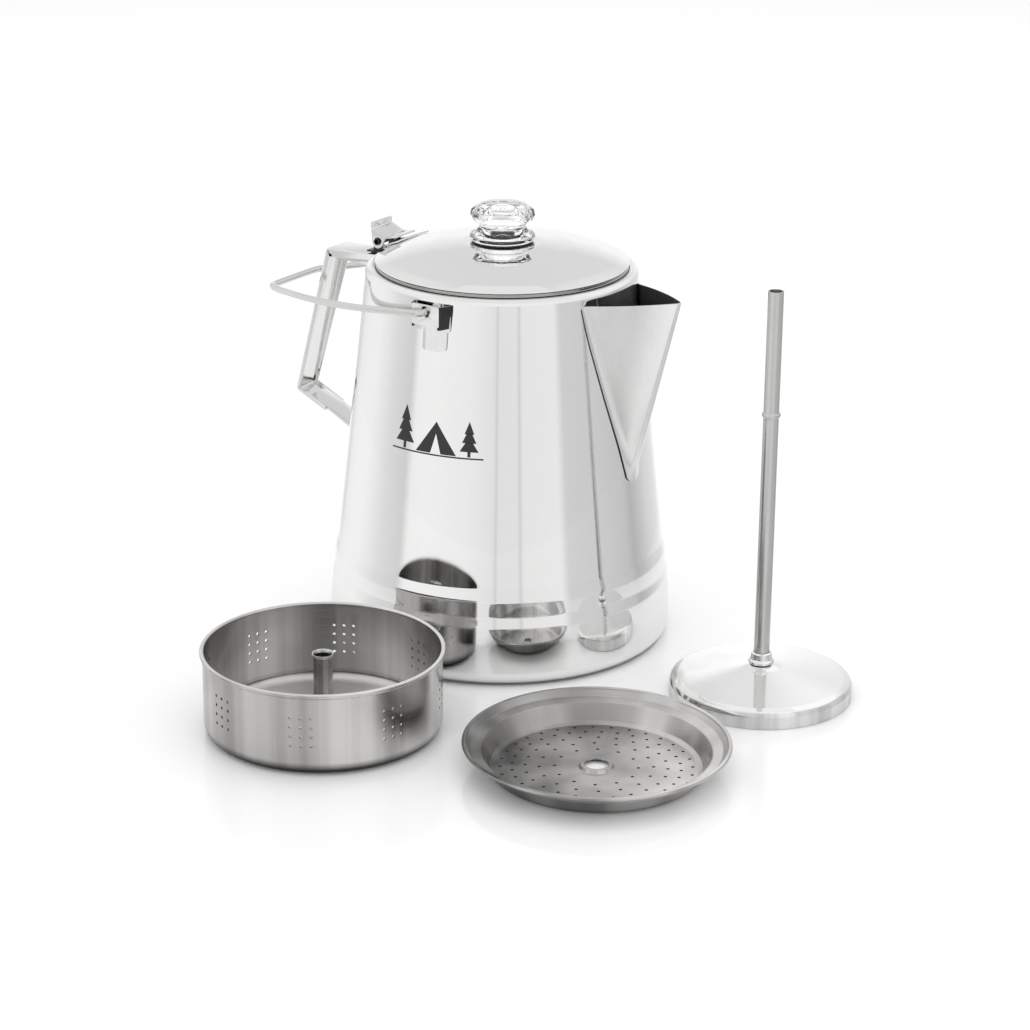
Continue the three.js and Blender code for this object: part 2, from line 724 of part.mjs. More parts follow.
function makeStemCollar() {
  const r = STEM_TUBE_R + GAP;
  return turned([[r, 20.6], [7.6, 20.0], [7.8, 21.4], [6.4, 22.6], [6.0, 26.0], [r, 26.6], [r, 20.6]], 20);
}

/** Pump tube with the raised bead that carries the basket. */
function makeStemTube() {
  const r = STEM_TUBE_R;
  const bore = r - 0.8;
  return turned([
    [bore, 17.0],
    [r, 17.0],
    [r, STEM_BEAD_Z - 2.0],
    [r + 0.9, STEM_BEAD_Z - 0.8],
    [r + 0.9, STEM_BEAD_Z + 0.4],
    [r, STEM_BEAD_Z + 1.4],
    [r, STEM_TOP],
    [bore, STEM_TOP],
    [bore, 17.0],
  ], 16);
}

// ---- assembly -----------------------------------------------------------------------------

/** Mesh moved so that it can be a child of a group placed at the given point. */
function about(mesh, x, y, z) {
  mesh.position.set(-x, -y, -z);
  return mesh;
}

const [pinX, pinZ] = PIN;

const pot = groupAt('pot', 0, 0, 0,
  piece('pot_body', makePotBody(), steelMirror),
  piece('spout', makeSpout(), steelSatin),
  piece('handle_strap', makeHandleStrap(), steelSheet),
  piece('handle_foot', makeHandleFoot(), steelSheet),
  piece('hinge_bracket', makeHingeBracket(), steelSheet),
  piece('ear_near', makeEar(-1), steelSheet),
  piece('ear_far', makeEar(1), steelSheet),
  groupAt('pin_seat', pinX, 0, pinZ, piece('hinge_pin', makeHingePin(), steelWire)));

const lid = groupAt('lid', pinX, 0, pinZ,
  about(piece('lid_dome', makeLid(), steelMirror), pinX, 0, pinZ),
  about(piece('lid_leaf', makeLeaf(), steelSheet), pinX, 0, pinZ),
  about(piece('knob_glass', makeKnob(), clearGlass), pinX, 0, pinZ),
  about(piece('knob_seal', makeKnobSeal(), sealRubber), pinX, 0, pinZ),
  piece('lid_lever', makeLever(), steelSheet));

const bail = groupAt('bail', EAR_X, 0, EAR_HOLE_Z,
  piece('bail_wire', makeBail(), steelWire));

const basket = groupAt('basket', ...BASKET_AT, 0,
  piece('basket_cup', makeBasket(), steelSatin),
  piece('basket_tube', makeBasketTube(), steelSatin));

const spreader = groupAt('spreader', ...SPREADER_AT, 0,
  piece('spreader_plate', makeSpreader(), steelSatin));

const stem = groupAt('stem', ...STEM_AT, 0,
  piece('stem_bell', makeBell(), steelMirror),
  piece('stem_collar', makeStemCollar(), steelMirror),
  piece('stem_tube', makeStemTube(), steelSatin));

const percolator = new THREE.Group();
percolator.name = 'coffee_percolator';
percolator.add(pot, lid, bail, basket, spreader, stem);

export default percolator;
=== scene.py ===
"""Looks for the camp coffee percolator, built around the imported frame. Metres, +Z up, +X toward the spout."""
import math

import bpy
import numpy as np
from mathutils import Matrix, Vector


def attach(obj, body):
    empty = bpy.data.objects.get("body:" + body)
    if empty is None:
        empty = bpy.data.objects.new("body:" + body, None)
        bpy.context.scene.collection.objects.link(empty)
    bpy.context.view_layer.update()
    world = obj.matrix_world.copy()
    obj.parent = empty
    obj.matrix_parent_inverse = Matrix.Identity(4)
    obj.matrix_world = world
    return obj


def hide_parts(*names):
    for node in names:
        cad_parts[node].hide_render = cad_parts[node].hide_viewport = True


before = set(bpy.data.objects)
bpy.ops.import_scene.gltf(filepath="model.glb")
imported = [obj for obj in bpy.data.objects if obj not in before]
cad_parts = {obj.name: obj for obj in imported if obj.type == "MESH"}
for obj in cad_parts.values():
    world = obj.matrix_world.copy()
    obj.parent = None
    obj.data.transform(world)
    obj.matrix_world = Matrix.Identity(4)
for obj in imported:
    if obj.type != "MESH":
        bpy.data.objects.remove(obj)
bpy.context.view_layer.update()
scene = bpy.context.scene

MM = 0.001                 # shapes below are written in millimetres
GAP = 0.3                  # clearance between neighbouring pieces
FINE = 224                 # facets around the large round pieces
CAMERA_AZIMUTH = 33.0      # degrees about the pot's axis; the tent's tones are listed from here
SHEEN_BEARING = 33.0       # degrees from +X, to the right in the photo; flat discs carry their painted highlight there

# the same driving dimensions as the CAD part, with heights above the floor
WALL = 0.8
CONE_BOTTOM, CONE_TOP = (100.6, 60.2), (82.9, 225.0)
RIM_R, RIM_ROLL, RIM_Z = 82.8, 4.5, 228.0
MOUTH_R = 76.0
SPOUT_TOP_Z, SPOUT_FOOT_Z = 225.4, 122.0
SPOUT_SHEET = 0.8
LID_R, LID_Z, LID_LIP, LID_CROWN, LID_SHEET, LID_HOLE_R = 76.7, 232.9, 2.6, 246.8, 0.7, 12.0
KNOB_TOP, SEAL_R = 270.0, 18.4
PIN_X, PIN_Z, PIN_R = -85.5, 235.6, 2.1
LEVER_W, CHEEK_T = 20.0, 1.2
EAR_X, EAR_PLATE_Y, EAR_W, EAR_FLARE, EAR_HOLE_Z, EAR_HOLE_R = 6.0, 90.0, 19.0, 4.4, 224.6, 3.3
EAR_PLATE_Z, EAR_PAD = (216.4, 228.6), (1.5, 17.0)
WIRE_R = 2.1
BASKET_AT, SPREADER_AT, STEM_AT = (4.7, -191.3), (164.7, -151.1), (189.6, -6.2)


# ---- shader helpers ----

class Graph:
    """A node tree with short ways to add and join nodes."""

    def __init__(self, tree):
        self.tree = tree

    def add(self, kind, inputs=None, **settings):
        node = self.tree.nodes.new(kind)
        for key, value in settings.items():
            setattr(node, key, value)
        for key, value in (inputs or {}).items():
            self.feed(node.inputs[key], value)
        return node

    def feed(self, socket, value):
        if isinstance(value, bpy.types.NodeSocket):
            self.tree.links.new(value, socket)
        else:
            socket.default_value = value

    def math(self, operation, *values):
        node = self.add("ShaderNodeMath", operation=operation)
        for i, value in enumerate(values):
            self.feed(node.inputs[i], value)
        return node.outputs[0]

    def coords(self, kind):
        return self.add("ShaderNodeTexCoord").outputs[kind]

    def split(self, vector):
        return self.add("ShaderNodeSeparateXYZ", {0: vector}).outputs

    def dimmed(self, colour, gain):
        return self.add("ShaderNodeVectorMath", {0: colour, "Scale": gain}, operation="SCALE").outputs[0]

    def noise(self, vector, scale, detail=3.0, rough=0.5):
        inputs = {"Vector": vector, "Scale": scale, "Detail": detail, "Roughness": rough}
        return self.add("ShaderNodeTexNoise", inputs).outputs["Fac"]

    def scaled(self, value, low, high, from_low=0.0, from_high=1.0):
        node = self.add("ShaderNodeMapRange", {
            "Value": value, "From Min": from_low, "From Max": from_high, "To Min": low, "To Max": high})
        return node.outputs[0]

    def ramp(self, value, stops):
        node = self.add("ShaderNodeValToRGB", {"Fac": value})
        elements = node.color_ramp.elements
        while len(elements) < len(stops):
            elements.new(0.5)
        for element, (at, colour) in zip(elements, stops):
            element.position = at
            element.color = colour if isinstance(colour, tuple) else (colour, colour, colour, 1.0)
        return node.outputs["Color"]


def new_material(name):
    material = bpy.data.materials.new(name)
    material.use_nodes = True
    graph = Graph(material.node_tree)
    return material, graph, material.node_tree.nodes["Principled BSDF"]


def place(graph, centre):
    """Object coordinates about an upright axis, in metres."""
    inputs = {0: graph.coords("Object"), 1: (-centre[0] * MM, -centre[1] * MM, 0.0)}
    return graph.add("ShaderNodeVectorMath", inputs, operation="ADD").outputs[0]


def distance_out(graph, x, y):
    """Distance from an upright axis."""
    return graph.math("SQRT", graph.math("ADD", graph.math("MULTIPLY", x, x), graph.math("MULTIPLY", y, y)))


def lathe_grain(graph, centre, stretch):
    """Coordinates in which noise becomes fine rings around an upright axis."""
    x, y, z = graph.split(place(graph, centre))
    out = graph.math("MULTIPLY", distance_out(graph, x, y), stretch)
    up = graph.math("MULTIPLY", z, stretch)
    return graph.add("ShaderNodeCombineXYZ", {0: out, 1: up, 2: graph.math("ARCTAN2", y, x)}).outputs[0]


def flatness(graph):
    """1 on faces that look up or down, 0 on upright walls."""
    upward = graph.math("ABSOLUTE", graph.split(graph.coords("Normal"))[2])
    return graph.scaled(upward, 0.0, 1.0, 0.35, 0.9)


def painted_reflection_bands(graph, centre, depth, fine_share):
    """Painted reflection bands: gain from 1 - depth to 1, in soft bands that run up and down the walls around
    an upright axis.
    """
    x, y, _ = graph.split(place(graph, centre))
    around = graph.add("ShaderNodeCombineXYZ", {0: x, 1: y}).outputs[0]
    facing = graph.add("ShaderNodeVectorMath", {0: around}, operation="NORMALIZE").outputs[0]
    broad, fine = graph.noise(facing, 1.7, 2.0), graph.noise(facing, 9.0, 4.0, 0.6)
    bands = graph.math(
        "ADD", graph.math("MULTIPLY", broad, 1 - fine_share), graph.math("MULTIPLY", fine, fine_share))
    return graph.scaled(bands, 1.0 - depth, 1.0, 0.40, 0.60)


FLAT_TOP = 1.4             # gain of the painted highlight, the lightest part of a flat disc
FLAT_SPAN = (-0.050, 0.045)    # metres from a disc's axis to where its painted shade is darkest and its painted highlight lightest
CLOUD_SHARE = 0.3          # how much of a flat disc's gain comes from soft clouds


def painted_flat_sheen(graph, centre, depth):
    """Painted highlight and painted shade across a flat disc, with soft clouds: gain FLAT_TOP toward
    SHEEN_BEARING,
    1 - depth away from it. It imitates the photo's shading, and is fixed to the disc whichever way it is looked
    at."""
    where = place(graph, centre)
    bearing = math.radians(SHEEN_BEARING)
    inputs = {0: where, 1: (math.cos(bearing), math.sin(bearing), 0.0)}
    across = graph.add("ShaderNodeVectorMath", inputs, operation="DOT_PRODUCT").outputs["Value"]
    side = graph.scaled(across, 0.0, 1.0, *FLAT_SPAN)
    clouds = graph.scaled(graph.noise(where, 30.0, 2.0), 0.0, 1.0, 0.35, 0.65)
    blend = graph.math(
        "ADD", graph.math("MULTIPLY", side, 1 - CLOUD_SHARE), graph.math("MULTIPLY", clouds, CLOUD_SHARE))
    return graph.scaled(blend, 1.0 - depth, FLAT_TOP)


def foot_gain(graph, low_z, high_z, low):
    """Gain painted on the lowest few millimetres outside, where a loose piece mirrors its own shadow."""
    up = graph.split(graph.coords("Object"))[2]
    upward = graph.scaled(graph.split(graph.coords("Normal"))[2], 0.0, high_z * MM, 0.1, 0.5)
    return graph.scaled(graph.math("ADD", up, upward), low, 1.0, low_z * MM, high_z * MM)


def painted_nose_highlight(graph, low):
    """Painted highlight: gain of 1 along the nose of the spout, falling to a lower value on its walls as
    painted shade.
    """
    across = graph.split(graph.coords("Object"))[1]
    return graph.scaled(graph.math("ABSOLUTE", across), 1.0, low, 0.004, 0.015)


def steel(name, tone, roughness, spread=0.03, rings=None, centre=(0, 0), aniso=0.0, bump=0.0,
          straight=None, wave=0.0, reflection_band_depth=0.0, flat_shade_depth=0.0, flat_roughness=None,
          mottle=(0.93, 1.04), nose=None, foot=None, fine_share=0.35):
    """Stainless steel. Roughness varies by spread, tone by mottle. rings gives turned lines about the axis
    at centre, straight gives lines along one axis, bump and wave are heights in millimetres.
    reflection_band_depth is the depth of the painted reflection bands on the walls, with fine_share of them
    fine; flat_shade_depth and flat_roughness are for faces that look up or down, where a painted highlight
    lies toward SHEEN_BEARING and flat_shade_depth is the depth of the painted shade away from it. nose and
    foot are the arguments of painted_nose_highlight and foot_gain, a painted highlight on the spout's nose
    and a painted shade at the foot."""
    material, graph, shader = new_material(name)
    where = place(graph, centre)
    cloud = graph.noise(where, 22.0, 4.0)
    speck = graph.noise(where, 1900.0, 2.0)
    if rings:
        grain = graph.noise(lathe_grain(graph, centre, rings), 1.0, 5.0, 0.65)
    elif straight:
        turned = graph.add("ShaderNodeMapping", {"Vector": where, "Scale": straight}).outputs[0]
        grain = graph.noise(turned, 1.0, 4.0, 0.6)
    else:
        grain = graph.noise(where, 420.0, 5.0, 0.6)
    mixed = graph.math("ADD", graph.math("MULTIPLY", cloud, 0.45), graph.math("MULTIPLY", grain, 0.55))
    rough = graph.scaled(mixed, roughness - spread, roughness + spread, 0.3, 0.7)
    dark, light = [tuple(c * k for c in tone) + (1.0,) for k in mottle]
    colour = graph.ramp(mixed, [(0.35, dark), (0.65, light)])
    flat = flatness(graph) if reflection_band_depth else None
    if flat_roughness:
        rough = graph.add("ShaderNodeMapRange", {
            "Value": flat, "To Min": rough, "To Max": flat_roughness}).outputs[0]
    if reflection_band_depth:
        gain = graph.add("ShaderNodeMapRange", {
            "Value": flat, "To Min": painted_reflection_bands(graph, centre, reflection_band_depth, fine_share),
            "To Max": painted_flat_sheen(graph, centre, flat_shade_depth)}).outputs[0]
        colour = graph.dimmed(colour, gain)
    if nose:
        colour = graph.dimmed(colour, painted_nose_highlight(graph, nose))
    if foot:
        colour = graph.dimmed(colour, foot_gain(graph, *foot))
    graph.feed(shader.inputs["Roughness"], rough)
    graph.feed(shader.inputs["Base Color"], colour)
    shader.inputs["Metallic"].default_value = 1.0
    shader.inputs["Anisotropic"].default_value = aniso
    if aniso:
        tangent = graph.add("ShaderNodeTangent", direction_type="RADIAL", axis="Z").outputs[0]
        graph.feed(shader.inputs["Tangent"], tangent)
    height = graph.math("ADD", grain, graph.math("MULTIPLY", speck, 0.15))
    relief = graph.add("ShaderNodeBump", {"Strength": 1.0, "Distance": bump * MM, "Height": height})
    if wave:
        slow = graph.noise(where, 16.0, 1.0)
        graph.feed(relief.inputs["Normal"], graph.add(
            "ShaderNodeBump", {"Strength": 1.0, "Distance": wave * MM, "Height": slow}).outputs[0])
    graph.feed(shader.inputs["Normal"], relief.outputs[0])
    return material


ALONG_Y = (160.0, 1800.0, 160.0)     # scales that draw the grain out across the folded sheet
UPWARD = (900.0, 900.0, 60.0)        # and up the spout

mirror = steel("steel_mirror", (0.90, 0.90, 0.895), 0.045, 0.012, wave=0.10, mottle=(0.985, 1.01))
# painted reflection bands on the bell's and collar's walls, and a painted highlight on their tops toward
# SHEEN_BEARING
mirror_stem = steel("steel_mirror_stem", (0.90, 0.90, 0.895), 0.07, 0.02, centre=STEM_AT, rings=3200.0,
                    bump=0.0002, wave=0.5, reflection_band_depth=0.35)
# painted highlight on the spout's nose, with its walls painted darker as shade
brushed_spout = steel(
    "steel_spout", (0.93, 0.93, 0.925), 0.22, 0.05, straight=UPWARD, bump=0.004, nose=0.80)
# painted reflection bands on the basket's walls, a painted highlight across its floor toward SHEEN_BEARING, and
# painted shade at its foot
turned_basket = steel(
    "steel_basket", (0.69, 0.68, 0.665), 0.20, 0.07, rings=2600.0, centre=BASKET_AT, aniso=0.6, bump=0.009,
    reflection_band_depth=0.46, flat_roughness=0.55, foot=(3.4, 8.0, 0.08), fine_share=0.22)
# painted reflection bands on the spreader's walls, painted highlight and painted shade across its floor, and
# painted shade at its foot
turned_spreader = steel(
    "steel_spreader", (0.62, 0.61, 0.60), 0.18, 0.05, rings=2400.0, centre=SPREADER_AT, aniso=0.5, bump=0.007,
    reflection_band_depth=0.5, flat_shade_depth=0.88, flat_roughness=0.30, foot=(0.4, 3.5, 0.3), fine_share=0.0)
drawn_tube = steel("steel_tube", (0.62, 0.615, 0.605), 0.22, 0.05, rings=2000.0, centre=STEM_AT, bump=0.004)
# painted reflection bands on the sleeve's wall, and a painted highlight on its ends toward SHEEN_BEARING
drawn_basket_tube = steel("steel_basket_tube", (0.64, 0.635, 0.62), 0.22, 0.05, rings=2000.0,
                          centre=BASKET_AT, bump=0.004, reflection_band_depth=0.4)
sheet = steel("steel_sheet", (0.82, 0.82, 0.815), 0.12, 0.04, straight=ALONG_Y, bump=0.003)
strap_steel = steel("steel_strap", (0.84, 0.84, 0.835), 0.10, 0.03, straight=ALONG_Y, bump=0.003)
# painted shade: near-black steel laid on faces that lie in shade, such as the hinge, the ears' side walls, the
# spout's margin edge and the pot's bottom edge
shaded = steel("steel_shaded", (0.05, 0.05, 0.052), 0.20, 0.06, bump=0.004)
# painted shade: the lid's lip is given this darker steel where it lies in shade
lip_shade = steel("steel_lip_shade", (0.42, 0.415, 0.41), 0.16, 0.05, rings=1800.0, bump=0.004)
# painted shade: the inside of the spout is given this dark steel
spout_inside_shade = steel("steel_spout_inside_shade", (0.16, 0.16, 0.16), 0.30, 0.08, straight=UPWARD, bump=0.004)
# painted shade: the walls of drilled holes are given this near-black steel
hole_shade = steel("steel_hole_shade", (0.10, 0.10, 0.10), 0.50, 0.08, bump=0.004)
wire = steel("steel_wire", (0.70, 0.69, 0.68), 0.22, 0.04, straight=(120.0, 1500.0, 1500.0), bump=0.003)


def make_glass():
    material, graph, shader = new_material("glass_clear")
    where = place(graph, (0, 0))
    shader.inputs["Transmission Weight"].default_value = 1.0
    shader.inputs["IOR"].default_value = 1.5
    tint = graph.noise(where, 60.0)
    graph.feed(shader.inputs["Base Color"], graph.ramp(tint, [
        (0.3, (0.965, 0.975, 0.97, 1.0)), (0.7, (0.99, 0.995, 0.992, 1.0))]))
    graph.feed(shader.inputs["Roughness"], graph.scaled(graph.noise(where, 300.0), 0.0, 0.035))
    relief = graph.add("ShaderNodeBump", {
        "Strength": 1.0, "Distance": 0.12 * MM, "Height": graph.noise(where, 120.0, 1.0)})
    graph.feed(shader.inputs["Normal"], relief.outputs[0])
    return material


def make_rubber(name, tone, roughness):
    material, graph, shader = new_material(name)
    where = place(graph, (0, 0))
    fleck = graph.noise(where, 900.0, 4.0)
    graph.feed(shader.inputs["Base Color"], graph.ramp(fleck, [
        (0.3, tuple(c * 0.7 for c in tone) + (1.0,)), (0.7, tuple(tone) + (1.0,))]))
    graph.feed(shader.inputs["Roughness"], graph.scaled(fleck, roughness - 0.08, roughness + 0.08))
    relief = graph.add("ShaderNodeBump", {"Strength": 1.0, "Distance": 0.02 * MM, "Height": fleck})
    graph.feed(shader.inputs["Normal"], relief.outputs[0])
    return material


glass = make_glass()
rubber = make_rubber("rubber_seal", (0.05, 0.05, 0.052), 0.55)
ink = make_rubber("printed_ink", (0.022, 0.022, 0.024), 0.42)


# ---- mesh helpers ----

def build(name, verts, faces, material, sharp=32.0):
    mesh = bpy.data.meshes.new(name)
    mesh.from_pydata([tuple(c * MM for c in v) for v in verts], [], faces)
    mesh.validate()
    obj = bpy.data.objects.new(name, mesh)
    scene.collection.objects.link(obj)
    mesh.materials.append(material)
    shade(obj, sharp)
    return obj


def shade(obj, sharp):
    obj.data.polygons.foreach_set("use_smooth", [True] * len(obj.data.polygons))
    obj.data.set_sharp_from_angle(angle=math.radians(sharp))


def arc(centre, radius, start, end, steps):
    angles = np.radians(np.linspace(start, end, steps + 1))
    return [(centre[0] + radius * math.cos(a), centre[1] + radius * math.sin(a)) for a in angles]


def rounded(points, closed=False, steps=5):
    """Polyline whose corners are rounded: a point may carry its own corner radius as a third number."""
    result = []
    count = len(points)
    for i, point in enumerate(points):
        here = np.array(point[:2], float)
        radius = point[2] if len(point) > 2 else 0.0
        if not radius or (not closed and i in (0, count - 1)):
            result.append(tuple(here))
            continue
        before, after = (np.array(points[(i + k) % count][:2], float) - here for k in (-1, 1))
        lb, la = np.linalg.norm(before), np.linalg.norm(after)
        before, after = before / lb, after / la
        angle = math.acos(max(-1.0, min(1.0, float(before @ after))))
        cut = min(radius / math.tan(angle / 2), lb * 0.49, la * 0.49)
        start, end = here + before * cut, here + after * cut
        for k in range(steps + 1):
            t = k / steps
            result.append(tuple((1 - t) ** 2 * start + 2 * t * (1 - t) * here + t * t * end))
    return result


def area_of(outline):
    """Twice the area of a closed outline, negative when it runs clockwise."""
    return sum(p[0] * q[1] - q[0] * p[1] for p, q in zip(outline, outline[1:] + outline[:1]))


def lathe(name, profile, material, segments=FINE, centre=(0, 0), sharp=32.0, swell=None):
    """Closed solid of revolution; swell(angle, r, z) may change each radius."""
    verts, rings = [], []
    for r, z in profile:
        if r < 1e-6:
            rings.append([len(verts)])
            verts.append((centre[0], centre[1], z))
            continue
        rings.append(list(range(len(verts), len(verts) + segments)))
        for k in range(segments):
            a = 2 * math.pi * k / segments
            rr = swell(a, r, z) if swell else r
            verts.append((centre[0] + rr * math.cos(a), centre[1] + rr * math.sin(a), z))
    faces = []
    count = len(rings)
    for i in range(count):
        low, high = rings[i], rings[(i + 1) % count]
        if len(low) == 1 and len(high) == 1:
            continue
        for k in range(segments):
            n = (k + 1) % segments
            if len(low) == 1:
                faces.append((low[0], high[n], high[k]))
            elif len(high) == 1:
                faces.append((low[k], low[n], high[0]))
            else:
                faces.append((low[k], low[n], high[n], high[k]))
    if area_of(profile) < 0:
        faces = [tuple(reversed(f)) for f in faces]
    return build(name, verts, faces, material, sharp)


def blank(verts, flip, material):
    """Prism from its two end rings of vertices, one after the other."""
    n = len(verts) // 2
    faces = [(k, (k + 1) % n, n + (k + 1) % n, n + k) for k in range(n)]
    faces += [tuple(range(n - 1, -1, -1)), tuple(range(n, 2 * n))]
    return build("blank", verts, [tuple(reversed(f)) for f in faces] if flip else faces, material)


def prism(points, low, high, material):
    """Prism of an (x, z) outline along Y."""
    return blank([(x, y, z) for y in (low, high) for x, z in points], area_of(points) >= 0, material)


def upright(points, low, high, material):
    """Prism of an (x, y) outline between two heights."""
    return blank([(x, y, z) for z in (low, high) for x, y in points], area_of(points) < 0, material)


def grid_faces(rows, columns, start=0):
    """Quads of a grid of points that are stored row by row."""
    corners = [start + i * columns + k for i in range(rows - 1) for k in range(columns - 1)]
    return [(a, a + 1, a + columns + 1, a + columns) for a in corners]


def thin_patch(name, verts, rows, columns, material):
    """Closed patch of sheet from two layers of the same grid of points."""
    layer = rows * columns
    faces = []
    for a, b, c, d in grid_faces(rows, columns):
        faces += [(a, b, c, d), (layer + a, layer + d, layer + c, layer + b)]
    rim = list(range(columns)) + [i * columns + columns - 1 for i in range(1, rows)]
    rim += [(rows - 1) * columns + k for k in range(columns - 2, -1, -1)]
    rim += [i * columns for i in range(rows - 2, 0, -1)]
    faces += [(b, a, layer + a, layer + b) for a, b in zip(rim, rim[1:] + rim[:1])]
    return build(name, verts, faces, material)


def rods(specs, material):
    """One mesh of separate straight rods, each (from, to, radius, sides)."""
    verts, faces = [], []
    for start, end, radius, sides in specs:
        a, b = Vector(start), Vector(end)
        turn = (b - a).to_track_quat("Z", "Y")
        low = len(verts)
        high = low + sides
        for p in (a, b):
            for k in range(sides):
                t = 2 * math.pi * k / sides
                verts.append(tuple(p + turn @ Vector((radius * math.cos(t), radius * math.sin(t), 0))))
        faces += [(low + k, low + (k + 1) % sides, high + (k + 1) % sides, high + k) for k in range(sides)]
        faces += [tuple(range(high - 1, low - 1, -1)), tuple(range(high, high + sides))]
    return build("cutter", verts, faces, material)


def apply_modifiers(obj):
    graph = bpy.context.evaluated_depsgraph_get()
    mesh = bpy.data.meshes.new_from_object(obj.evaluated_get(graph))
    old = obj.data
    obj.modifiers.clear()
    obj.data = mesh
    bpy.data.meshes.remove(old)
    return obj


def boolean(obj, other, operation, sharp=32.0):
    """Join or cut with another mesh, which is used up; cut faces take the other mesh's material."""
    change = obj.modifiers.new("boolean", "BOOLEAN")
    change.material_mode = "TRANSFER"
    change.object = other
    change.operation = operation
    change.solver = "EXACT"
    apply_modifiers(obj)
    bpy.data.objects.remove(other)
    shade(obj, sharp)
    return obj


def bevel(obj, width, angle=32.0):
    edge = obj.modifiers.new("bevel", "BEVEL")
    edge.width = width * MM
    edge.segments = 2
    edge.limit_method = "ANGLE"
    edge.angle_limit = math.radians(angle)
    edge.use_clamp_overlap = True
    edge.harden_normals = False
    apply_modifiers(obj)
    shade(obj, 40.0)
    return obj


def retouch(obj, material, chosen):
    """Give another material to the faces for which chosen(centre in mm, normal) is true."""
    obj.data.materials.append(material)
    for face in obj.data.polygons:
        if chosen(face.center / MM, face.normal):
            face.material_index = len(obj.data.materials) - 1
    return obj


def place_piece(obj, name, body, nodes):
    obj.name = name
    obj.data.name = name
    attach(obj, body)
    if nodes:
        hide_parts(*nodes)


# ---- pot ----

def cone_radius(z):
    t = (z - CONE_BOTTOM[1]) / (CONE_TOP[1] - CONE_BOTTOM[1])
    return CONE_BOTTOM[0] + (CONE_TOP[0] - CONE_BOTTOM[0]) * t


FOOT_CORNER, FOOT_BEND = (96.8, 9.0), 9.0
# the wall outside as (r, z, bend), with its two swaged steps
WALL_BENDS = [(105.8, 9.5), (105.2, 27, 60), (104.3, 37.8, 16), (102.9, 43.2, 16), (102.4, 54.0, 16),
              CONE_BOTTOM + (16,), CONE_TOP]
STRAINER_ROWS = [(148, 2), (164, 2), (180, 2), (196, 4), (211, 4)]    # height, number of holes
STRAINER_STEP, STRAINER_R = 9.0, 2.6                                  # degrees, millimetres


def pot_side(inset):
    side = rounded([(b[0] - inset,) + tuple(b[1:]) for b in WALL_BENDS], steps=8)
    return arc(FOOT_CORNER, FOOT_BEND - inset, -90, 0, 12) + side


def make_pot():
    centre = (RIM_R - RIM_ROLL, RIM_Z)
    outside = pot_side(0) + arc(centre, RIM_ROLL, 0, 90, 16)
    throat = rounded([(MOUTH_R + 1.2, RIM_Z + RIM_ROLL - 0.1), (MOUTH_R, RIM_Z + RIM_ROLL - 0.5, 0.8),
                      (MOUTH_R, RIM_Z + 0.5), (MOUTH_R + WALL, RIM_Z + 0.5),
                      (MOUTH_R + WALL, RIM_Z + RIM_ROLL - 1.9)])
    inside = arc(centre, RIM_ROLL - WALL, 90, 0, 10) + pot_side(WALL)[::-1]
    profile = [(0, 0)] + outside + throat + inside + [(96.0, 1.0), (0, 1.0)]
    pot = lathe("pot", profile, mirror)
    drills = []
    for z, count in STRAINER_ROWS:
        for k in range(count):
            a = math.radians((k - (count - 1) / 2) * STRAINER_STEP)
            c, s = math.cos(a), math.sin(a)
            near, far = cone_radius(z) - 8, cone_radius(z) + 8
            drills.append(((near * c, near * s, z), (far * c, far * s, z), STRAINER_R, 24))
    # the strainer holes' walls take the painted hole shade
    boolean(pot, rods(drills, hole_shade), "DIFFERENCE")
    # painted shade: the downward faces of the bottom edge are near-black, a dark line where the pot meets the
    # floor
    return retouch(pot, shaded, lambda at, normal: at.z < 1.1 and normal.z < -0.2)


place_piece(make_pot(), "pot_shell", "pot", ["pot_body"])


WELD_SINK = 0.05           # how far the margin sits into the pot's wall, so that no light leaks under it
SPOUT_BLEND = 3.2          # how softly the V runs out into the margin
# the V's section as (at the foot, change up to the rim): reach from the pot's axis, radius of the nose,
# radius of the bowed sides, degrees that the sides open
SPOUT_SECTION = [(97.0, 27.5), (7.0, -3.6), (26.0, 124.0), (50.0, -8.0)]
SPOUT_RISE, RISE_FROM, RISE_RUN = 2.6, 77, 47.5    # the rim lifts toward the tip


def flange_half(z):
    if z < 119:
        return 7.6 * math.sqrt(max(0.0, 1 - ((119 - z) / 6.0) ** 2))
    return float(np.interp(z, [119, 128, 136, 152, 168, 184, 199.4, 212, 225.4],
                           [7.6, 10.0, 12.1, 16.9, 21.5, 25.4, 28.9, 31.2, 33.0]))


